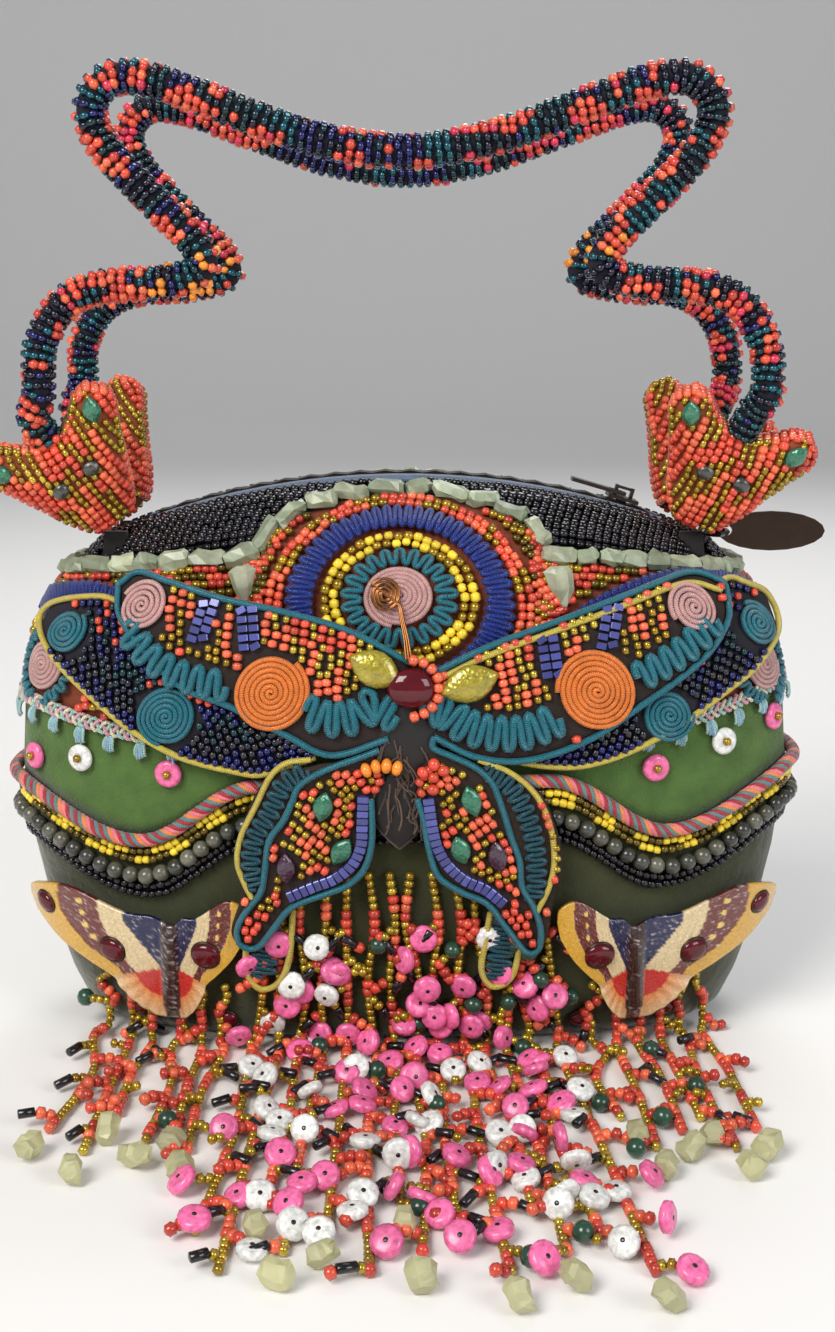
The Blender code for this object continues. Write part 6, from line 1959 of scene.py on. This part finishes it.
        middle = ((tail[0][0] + tail[-1][0]) / 2, 45.0), ((tail[2][0] + tail[4][0]) / 2, 25.5)
        ruffled_cord(cords, middle, 4.6, 3.4, 2.9, Tint.TEAL_CORD_DARK, 0.7)
        show(cords, f"{node}_cords", Look.CORD, "teal_cord")
        for gem, tint in zip(gems, (Tint.GREEN_FOIL, Tint.GREEN_FOIL, Tint.PURPLE_GLASS)):
            set_stone(stones, *gem, 8.6, 2.6, tint)
        show(stones, f"{node}_stones", Look.FOIL, "ruby_glass")

    def middle(self) -> None:
        """The ruby cabochon, its bead ring, the leaf stones beside it and the frayed ends below, on
        near-black patches that are partly backing cloth and partly painted shade.
        """
        rng = np.random.default_rng(91)
        ruby, leaves, beads, frays = (Heap() for _ in range(4))
        set_stone(ruby, 2.2, 110.5, 11.0, 11.0, 90.0, 9.8, 4.6, Tint.RUBY)
        show(ruby, "ruby_dome", Look.GLASS, "ruby_glass", "cabochon")
        set_stone(leaves, -7.5, 115.4, 16.0, 8.6, 155.0, 9.6, 3.6, Tint.YELLOW_FOIL)
        set_stone(leaves, 18.0, 111.6, 17.0, 8.6, 18.0, 9.6, 3.6, Tint.YELLOW_FOIL)
        show(leaves, "leaf_stones", Look.FOIL, "enamel")
        turn = np.linspace(-1.5, 1.5, 60)
        line = even_course(Patch(2.5, 110.5).course(np.full(60, 7.4), turn, 9.4), 2.7)
        bead_row(beads, line, shades(rng, Tint.CORAL_PALE, 0.1, len(line.points)), 2.6, 3.2, rng)
        for spots, tint, spread, long, wide in self.KNOTS:
            knot = BODY.front_course(spots, 8.9)
            bead_row(beads, knot, shades(rng, tint, spread, len(spots)), long, wide, rng, ROUND)
        show(beads, "ruby_beads", Look.SEED, "coral_gold_beads")
        # Two near-black patches under the threads: backing cloth, made darker as painted shade between the
        # frayed ends.
        set_stone(frays, 0.5, 97.0, 27.0, 16.0, 90.0, 6.4, 2.6, Tint.DARK_CLOTH_AND_SHADE)
        set_stone(frays, -1.0, 78.0, 26.0, 14.0, 90.0, 5.6, 2.2, Tint.DARK_CLOTH_AND_SHADE)
        for _ in range(34):
            z = rng.uniform(76, 98)
            x = rng.normal(0, 2.4)
            bend = np.cumsum(rng.normal(0, 1.2, (3, 2)) - (0, 2.6), axis=0)
            path = smooth_line(((x, z), *((x, z) + bend)), 0.8)
            line = BODY.front_course(path, 7.4 + rng.uniform(0, 0.9))
            frays.cord(line, 0.24, shades(rng, Tint.BROWN_CLOTH, 0.45), sides=4)
        show(frays, "frayed_ends", Look.TWIST, "copper_wire")

    def antenna(self) -> None:
        """Three wires side by side: up from the ruby and round into a spiral."""
        wire = Heap()
        turns = np.linspace(0, 1, 150)
        angle = turns * 3.4 * TAU
        reach = 0.6 + 3.6 * turns
        spiral = np.stack((-5.0 + reach * np.cos(angle), 134.0 + reach * np.sin(angle)), axis=1)
        stem = smooth_line(((-0.9, 131.5), (0.0, 127.0), (1.0, 122.5), (1.6, 117.5)), 0.6)
        flat = np.concatenate((spiral, stem))
        height = np.concatenate((np.full(len(spiral), 5.4), np.linspace(5.6, 9.6, len(stem))))
        spread = np.concatenate((np.full(len(spiral), 0.35), np.linspace(0.35, 1.0, len(stem))))
        for offset in (-0.75, 0.0, 0.75):
            shifted = flat + np.array((offset, 0.0)) * spread[:, None]
            line = BODY.front_course(shifted, height + 0.1 * offset)
            wire.cord(line, 0.36, Tint.COPPER.rgba())
        show(wire, "antenna_wires", Look.WIRE, "copper_wire", "antenna")

    def build(self) -> None:
        """All wings, from the rear forward."""
        for wing in (self.rear, self.hind, self.front):
            for side, mark in SIDES:
                wing(side, mark)
        self.middle()
        self.antenna()


# Pins

@dataclass
class Pin:
    """An enamelled butterfly pin: two wings of coloured fields and a raised body."""

    side: int
    middle: float
    inner_share: float = 0.52
    low: float = 4.2
    high: float = 5.6

    UPPER = ((0.8, 40), (6, 42.5), (14, 43), (30, 48.5), (40.5, 46.5), (42, 42.5))
    LOWER = ((0.8, 11), (5, 11), (11, 14), (16, 19), (18, 22.3), (24.5, 25.8), (33, 31), (40, 37.5))
    GARNETS = ((36.6, 42.0, 3.0, 5.7), (17.4, 31.0, 3.4, 5.7), (-9.6, 32.0, 3.6, 5.7),
               (12.5, 10.0, 2.3, 1.2), (-14.0, 9.0, 2.3, 1.2))

    def build(self) -> None:
        """The plate with its fields, the body ridge and the garnets in dark settings."""
        node = f"butterfly_pin_{'left' if self.side < 0 else 'right'}"
        rng = np.random.default_rng(95 + self.side)
        upper, lower = edge_line(self.UPPER, 66), edge_line(self.LOWER, 66)
        share = np.linspace(0, 1, 56)[None, :, None]
        half = lower[:, None] * (1 - share) + upper[:, None] * share
        grid = np.concatenate((half[:0:-1] * (-self.inner_share, 1.0), half))
        out = np.abs(np.concatenate((half[:0:-1, :, 0], half[:, :, 0])))
        ridge = np.clip(1 - (out / 3.2) ** 2, 0, 1) ** 0.5
        ridge = ridge * np.clip(np.minimum(share[..., 0], 1 - share[..., 0]) * 8, 0, 1)
        tints, relief = self.fields(out, grid[..., 1], rng)
        x = self.middle + self.side * grid[..., 0]
        heap = Heap()
        heap.plate(BODY.front(x, grid[..., 1], self.high + 1.6 * ridge + relief),
                   BODY.front(x, grid[..., 1], self.low), tints)
        show(heap, f"{node}_enamel", Look.ENAMEL, "enamel", node)
        gems, settings = Heap(), Heap()
        for along, z, radius, height in self.GARNETS:
            at = self.middle + self.side * along
            set_stone(gems, at, z, radius * 2, radius * 2, 90.0, height + 0.5, 2.6, Tint.RUBY)
            rim = Patch(at, z).course(np.full(24, radius + 0.15), np.linspace(0, TAU, 24, endpoint=False),
                                      height + 0.1, True)
            settings.cord(rim, 0.6, screen(64, 44, 34, 0.6), closed=True)
        show(gems, f"{node}_garnets", Look.GLASS, "ruby_glass")
        show(settings, f"{node}_settings", Look.WIRE, "bronze")

    @staticmethod
    def fields(out: Array, z: Array, rng: Rng) -> tuple:
        """The enamel's colours and relief, from the distance out of the body and the height.

        Formula: lines between fields give the distance out at each height; the lower wing is a
        fan round a point by the body: red inside a radius, ridged margin outside it.

        Returns:
            The colours and the heights of the relief.
        """
        glitter = rng.random((*out.shape, 1)) ** 16
        silver = screen(200, 190, 190, 0.8)
        navy, brown, body = (screen(*colour, 0.3) * (1 - glitter) + silver * glitter
                             for colour in ((20, 24, 70), (104, 36, 26), (50, 24, 20)))
        cream_line = np.interp(z, (27.5, 40.3), (4.0, 13.8))
        brown_line = np.interp(z, (24, 30, 38, 43), (10.5, 15.9, 20.0, 21.4))
        ochre_line = np.interp(z, (22, 25, 27.5, 31, 36.5, 41, 47), (14, 15.6, 19.2, 24.9, 29.8, 32.7, 33.0))
        stripe = np.sin((out - cream_line + 0.35 * z) * 3.2)
        tints = np.where(out[..., None] < cream_line[..., None], navy, screen(214, 192, 148))
        tints = np.where(out[..., None] > brown_line[..., None], brown, tints)
        tints = np.where(out[..., None] > ochre_line[..., None], screen(206, 158, 52), tints)
        relief = np.where((out > cream_line) & (out < brown_line), 0.16 * stripe, 0.0)
        relief = relief + 0.25 * (out > ochre_line)
        for dot_out, dot_z in ((26.6, 44.8), (25.9, 41.2), (25.0, 37.5), (22.8, 34.0)):
            near = np.hypot(out - dot_out, z - dot_z) < 0.95
            tints[near] = screen(226, 190, 100)
            relief[near] += 0.2
        lower = (z < 27.3 - 0.31 * (out - 1.5)) & (out < 18.0)
        away = np.hypot(out - 1.8, z - 27.0)
        turn = np.arctan2(27.0 - z, out - 1.8)
        share = np.clip((away - 9.6) / 7.0, 0, 1)[..., None]
        edge = screen(216, 128, 62) * (1 - share) + screen(226, 196, 150) * share
        tints = np.where(lower[..., None], edge, tints)
        tints = np.where((lower & (away < 9.6))[..., None], screen(188, 40, 34), tints)
        relief = np.where(lower, 0.2 * np.cos(turn * 24) * (away > 9.6), relief)
        tints = np.where(out[..., None] < 3.0, body, tints)
        return tints, np.where(out < 3.0, 0.0, relief)


# Fringe

class Drop(Enum):
    """What is strung on the fringe: the name of its shape, length, width and tints."""

    CORAL = ("seed", 2.7, 3.5, (Tint.CORAL, Tint.CORAL_PALE, Tint.CORAL_DEEP))
    GOLD = ("seed", 2.3, 2.9, (Tint.GOLD, Tint.GOLD_LIGHT))
    BUGLE = ("bugle", 5.0, 2.8, (Tint.BLACK, Tint.BLACK_SHEEN))
    GREEN = ("round", 5.2, 5.4, (Tint.GREEN_BEAD,))


STRUNG = {"seed": SEED, "bugle": BUGLE, "round": ROUND}


@dataclass
class Fringe:
    """A group of strands drawn from under the ornament, laid forward on the table.

    Attributes:
        x_range, z: where the strands start, on the front.
        spread: the x of the first and last end on the table.
        reaches: how far forward the ends lie, in turn.
        discs: how many of the twigs end in a disc, 0 to 1.
        lie: height of a string that lies on the table.
        drawn_in: how much shorter a strand's path is than its reach, for its end.
    """

    name: str
    x_range: tuple[float, float]
    z: float
    count: int
    spread: tuple[float, float]
    reaches: tuple[float, ...]
    seed: int
    discs: float = 0.0
    lie: float = 1.6
    drawn_in: float = 14.0
    table_gap: float = 0.1
    disc: tuple[float, float] = (7.2, 8.2)
    nugget: tuple[float, float] = (6.2, 8.6)
    nugget_lie: float = 4.1
    heaps: dict[str, Heap] = field(default_factory=dict)

    GROUPS = {"seed": (Look.SEED, "fringe_beads"), "disc": (Look.HOWLITE, "pink_stone"),
              "stone": (Look.NUGGET, "pale_stone")}

    def heap(self, group: str) -> Heap:
        """The heap of a group of beads."""
        return self.heaps.setdefault(group, Heap())

    def strand_path(self, x: float, end_x: float, reach: float, wobble: float) -> Course:
        """Down the front from x, part of the way to end_x, then forward along the table."""
        points = [BODY.front(x, self.z, 1.9)]
        for share in (1 / 3, 2 / 3, 1.0):
            here = x + (end_x - x) * 0.35 * share + wobble * math.sin(6 * share)
            points.append(BODY.front(here, self.z + (8.0 - self.z) * share, 2.3))
        low = points[-1]
        points += [low + (0, -2.2, -4.6), low + (wobble, -9, self.lie - low[2]),
                   (x + (end_x - x) * 0.7 - wobble, (low[1] - reach) / 2, self.lie),
                   (end_x, -reach, self.lie)]
        line = smooth_line(points, 0.6)
        away = np.where(line[:, 2:] < 4, (0.0, 0.0, 1.0), (0.0, -1.0, 0.12))
        return course(line, unit(away))

    def string(self, line: Course, kinds: list[Drop], start: float, rng: Rng) -> float:
        """Set beads of the given kinds along a course, touching each other.

        Returns:
            The distance at which the last one ends.
        """
        walked = walk_lengths(line.points)
        lengths = np.array([kind.value[1] for kind in kinds])
        ends = start + np.cumsum(lengths)
        centres = ends - lengths / 2
        keep = ends < walked[-1] + 0.5
        spots = [look_up(centres, walked, table) for table in (line.points, line.along, line.up)]
        for kind in dict.fromkeys(kinds):
            shape, length, width, tints = kind.value
            chosen = np.array([k is kind for k in kinds]) & keep
            count = int(chosen.sum())
            if count == 0:
                continue
            colours = vary(rng, palette(*tints)[rng.integers(0, len(tints), count)], 0.14)
            size = np.array((length, width, width)) * (1 + rng.normal(0, 0.05, (count, 3)))
            points = spots[0][chosen].copy()
            points[:, 2] = np.maximum(points[:, 2], width / 2 + self.table_gap)
            self.heap("seed").scatter(STRUNG[shape], points, spots[1][chosen], spots[2][chosen], size,
                                      colours)
        return float(ends[keep][-1]) if keep.any() else start

    @staticmethod
    def sequence(rng: Rng, number: int) -> list[Drop]:
        """A strand's beads: runs of coral and of gold."""
        kinds: list[Drop] = []
        while len(kinds) < number:
            kinds += [Drop.GOLD] * rng.integers(3, 7) + [Drop.CORAL] * rng.integers(2, 5)
        return kinds[:number]

    def twig(self, start: Array, way: Array, up: Array, length: float) -> Course:
        """A short bowed course that leaves a strand."""
        steps = np.linspace(0, 1, 12)[:, None]
        bow = up * 1.4 * np.sin(steps * math.pi)
        path = start + way * steps * length + bow
        if up[2] < 0.5:
            path = path - np.array((0, -0.6, 1.0)) * steps ** 2 * 2.5
        path[:, 2] = np.maximum(path[:, 2], self.lie)
        return course(path, np.broadcast_to(up, path.shape))

    def branch(self, line: Course, at: float, side: int, rng: Rng) -> None:
        """A twig of a few beads and a bugle that ends in a bead or in a disc, off to one side."""
        index = int(np.searchsorted(walk_lengths(line.points), at))
        if index >= len(line.points) - 2:
            return
        start, along, up = line.points[index], line.along[index], line.up[index]
        across = unit(np.cross(up, along)) * side
        way = unit(across + along * rng.uniform(0.3, 1.3) + up * rng.uniform(0.0, 0.3))
        twig = self.twig(start, way, up, rng.uniform(8, 12))
        few = [Drop.GOLD if rng.random() < 0.35 else Drop.CORAL] * int(rng.integers(1, 4))
        end = [Drop.BUGLE] if rng.random() < 0.8 else [Drop.GREEN]
        if rng.random() >= self.discs:
            self.string(twig, few + end + [Drop.CORAL if rng.random() < 0.5 else Drop.GOLD], 1.0, rng)
            return
        reached = self.string(twig, few[:2] + end[:int(rng.integers(0, 2))], 1.0, rng)
        tip = start + way * (reached + 3.2) + up * 0.8
        face = unit(up + rng.normal(0, 0.45, 3) + np.array((0, -0.25, 0)))
        tip[2] = max(tip[2], self.lie + 3.9 * math.hypot(face[0], face[1]))
        tint = shades(rng, Tint.WHITE if rng.random() < 0.4 else Tint.PINK, 0.08)
        wide = rng.uniform(*self.disc)
        self.heap("disc").scatter(DISC, tip[None], face[None], way[None], (2.8, wide, wide), tint)
        self.heap("seed").scatter(DISC, tip[None], face[None], way[None], (3.0, 1.6, 1.6),
                                  screen(30, 16, 20))

    def ending(self, line: Course, at: float, rng: Rng) -> None:
        """A dark round bead, two short tails and the nugget they hold."""
        index = min(int(np.searchsorted(walk_lengths(line.points), at)), len(line.points) - 1)
        start, along, up = line.points[index], line.along[index], line.up[index]
        across = unit(np.cross(up, along))
        self.string(self.twig(start, along, up * 0, 8.0), [Drop.GREEN], 0.0, rng)
        tip = start + along * 5.2
        for side in (-1, 1):
            tail = self.twig(tip, unit(along + across * side * rng.uniform(0.5, 0.9)), up * 0, 12.0)
            kinds = [Drop.CORAL] * int(rng.integers(1, 4)) + [Drop.GOLD] * int(rng.integers(2, 4))
            self.string(tail, kinds, 0.0, rng)
        if rng.random() < self.discs * 0.8:
            return
        centre = tip + along * 6.5
        centre[2] = self.nugget_lie
        turned = unit(along + rng.normal(0, 0.5, 3))
        size = rng.uniform(*self.nugget, 3)
        shape = Shape(CHIP.points + rng.normal(0, 0.045, CHIP.points.shape), CHIP.quads)
        tints = shades(rng, Tint.NUGGET, 0.08)
        self.heap("stone").scatter(shape, centre[None], turned[None], up[None], size[None] * (1, 0.86, 0.86),
                                   tints)

    def build(self) -> None:
        """All strands with their twigs and ends."""
        rng = np.random.default_rng(self.seed)
        for strand in range(self.count):
            share = strand / (self.count - 1)
            x = self.x_range[0] + (self.x_range[1] - self.x_range[0]) * share
            end_x = self.spread[0] + (self.spread[1] - self.spread[0]) * share + rng.normal(0, 1.5)
            reach = self.reaches[strand % len(self.reaches)] - self.drawn_in
            line = self.strand_path(x, end_x, reach, rng.normal(0, 1.6))
            total = walk_lengths(line.points)[-1]
            end = self.string(line, self.sequence(rng, int(total / 2.5)), 0.0, rng)
            self.ending(line, min(end, total), rng)
            at = rng.uniform(14, 18)
            side = 1 if strand % 2 else -1
            while at < total - 4:
                self.branch(line, at, side, rng)
                at += rng.uniform(7.5, 11.5) if self.discs else rng.uniform(10.0, 15.0)
                side = -side
        for order, (group, heap) in enumerate(self.heaps.items()):
            heap.points = [np.maximum(points, (-np.inf, -np.inf, self.table_gap)) for points in heap.points]
            look, slot = self.GROUPS[group]
            show(heap, f"{self.name}_{group}", look, slot, *((self.name,) if order == 0 else ()),
                 flat=group == "stone")


# What keeps its CAD shape

class Hardware:
    """CAD nodes that keep their shape, by finish: its name, look, colour and the nodes it goes on."""

    DRESSED = (
        ("rose_metal", Look.WIRE, (60, 50, 46, 0.8),
         ("zip_teeth_front", "zip_teeth_back", "zip_slider", "zip_pull")),
        ("zip_tape_cloth", Look.CLOTH, (72, 92, 116), ("zip_tape_front", "zip_tape_back")),
        ("tab_cloth", Look.CLOTH, (22, 18, 18),
         tuple(f"snout_tab_{corner}" for corner in ("front_left", "front_right", "back_left", "back_right"))),
        ("base_velvet", Look.VELVET, (44, 48, 22), ("base_cover",)),
        ("shell_board", Look.CLOTH, (150, 130, 100), ("shell",)),
        ("lining_cloth", Look.CLOTH, (86, 48, 92), ("lining",)),
        ("tag_bronze", Look.WIRE, (58, 44, 34, 0.7), ("tag",)),
        ("loop_beads", Look.SEED, (18, 16, 20), ("tag_loop",)))

    def build(self) -> None:
        """Give every one of these nodes its finish."""
        for name, look, colour, nodes in self.DRESSED:
            material = FINISHES.coloured(name, look, screen(*colour))
            for node in nodes:
                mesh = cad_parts[node].data
                mesh.materials.clear()
                mesh.materials.append(material)


# Camera, light and table

@dataclass
class Studio:
    """The camera of the photograph, soft light and a pale sweep."""

    image: tuple[int, int] = (835, 1332)
    focal: float = 1617.0
    camera_at: tuple[float, float, float] = (0.004, -0.480, 0.209)
    pitch: float = 78.0
    sensor: float = 36.0
    floor_reach: float = 20.0
    floor_colour: tuple[float, ...] = (0.86, 0.85, 0.83, 1.0)
    sky_colour: tuple[float, ...] = (0.9, 0.93, 1.0, 1.0)
    sky_strength: float = 0.36

    LAMPS = (("key", (-0.7, -1.0, 1.1), 0.75, 21.0, (1.0, 0.97, 0.92)),
             ("fill", (1.0, -0.9, 0.7), 0.7, 8.0, (0.95, 0.97, 1.0)),
             ("back", (0.2, 1.0, 1.2), 0.8, 8.0, (1.0, 1.0, 1.0)))
    LIT = (0, 0, 0.1)

    def camera(self) -> None:
        """The camera, its lens from the focal length in pixels: lens = sensor * focal / height."""
        data = bpy.data.cameras.new("camera")
        data.lens = self.sensor * self.focal / self.image[1]
        data.sensor_width = self.sensor
        data.clip_start, data.clip_end = 0.01, 50.0
        camera = new_object("camera", data)
        camera.location = self.camera_at
        camera.rotation_euler = Euler((math.radians(self.pitch), 0.0, 0.0))
        bpy.context.scene.camera = camera

    def floor(self) -> None:
        """A sweep: flat in front, curving up behind as a quarter circle of one metre."""
        turn = np.linspace(0, math.pi / 2, 24)
        bend = np.stack((2.0 + np.sin(turn), 1 - np.cos(turn)), axis=1)
        profile = ((-self.floor_reach, 0.0), *bend, (3.0, 5.0))
        points = [(x, y, z) for y, z in profile for x in (-self.floor_reach, self.floor_reach)]
        faces = [(2 * k, 2 * k + 1, 2 * k + 3, 2 * k + 2) for k in range(len(profile) - 1)]
        mesh = bpy.data.meshes.new("sweep")
        mesh.from_pydata(points, [], faces)
        mesh.shade_smooth()
        material = bpy.data.materials.new("sweep_paper")
        material.use_nodes = True
        tree = material.node_tree
        feed(tree, tree.nodes["Principled BSDF"], {"Base Color": self.floor_colour, "Roughness": 0.9})
        mesh.materials.append(material)
        new_object("sweep", mesh)

    def lamp(self, name: str, at: tuple, size: float, power: float, colour: tuple) -> None:
        """A square soft lamp that looks at the lit point."""
        data = bpy.data.lights.new(name, "AREA")
        data.size, data.energy, data.color = size, power, colour
        lamp = new_object(name, data)
        lamp.location = at
        way = np.subtract(self.LIT, at)
        yaw = math.atan2(way[0], -way[1])
        flat = math.hypot(way[0], way[1])
        lamp.rotation_euler = Euler((math.atan2(flat, -way[2]), 0.0, math.pi + yaw))

    def build(self) -> None:
        """Camera, sweep, lamps and a dim even sky."""
        bpy.context.scene.view_settings.view_transform = "Standard"
        self.camera()
        self.floor()
        for lamp in self.LAMPS:
            self.lamp(*lamp)
        world = bpy.data.worlds.new("sky")
        world.use_nodes = True
        tree = world.node_tree
        feed(tree, tree.nodes["Background"], {"Color": self.sky_colour, "Strength": self.sky_strength})
        bpy.context.scene.world = world


def main() -> None:
    """Dress the bag from the skins outwards, then set up the studio."""
    logging.basicConfig(level=logging.INFO, format="%(message)s")
    Skins().build()
    GirthRows().build()
    Braid().build()
    Studs().build()
    BeadFields().build()
    Rosettes().build()
    Butterfly().build()
    for side, middle in ((-1, -65.5), (1, 65.0)):
        Pin(side, middle).build()
    for name, front in (("front", -1), ("back", 1)):
        Handle(name, front).build()
    Fringe("fringe_left", (-86, -52), 21.0, 6, (-92, -54), (106, 118, 98, 112), 101).build()
    Fringe("fringe_right", (54, 86), 21.0, 6, (58, 94), (100, 116, 106), 102).build()
    Fringe("fringe_centre", (-40, 38), 57.0, 14, (-50, 56), (158, 174, 146, 166), 103, 0.5).build()
    Hardware().build()
    Studio().build()
    log.info("%d quads in all", sum(len(mesh.polygons) for mesh in bpy.data.meshes))


if __name__ == "__main__":
    main()
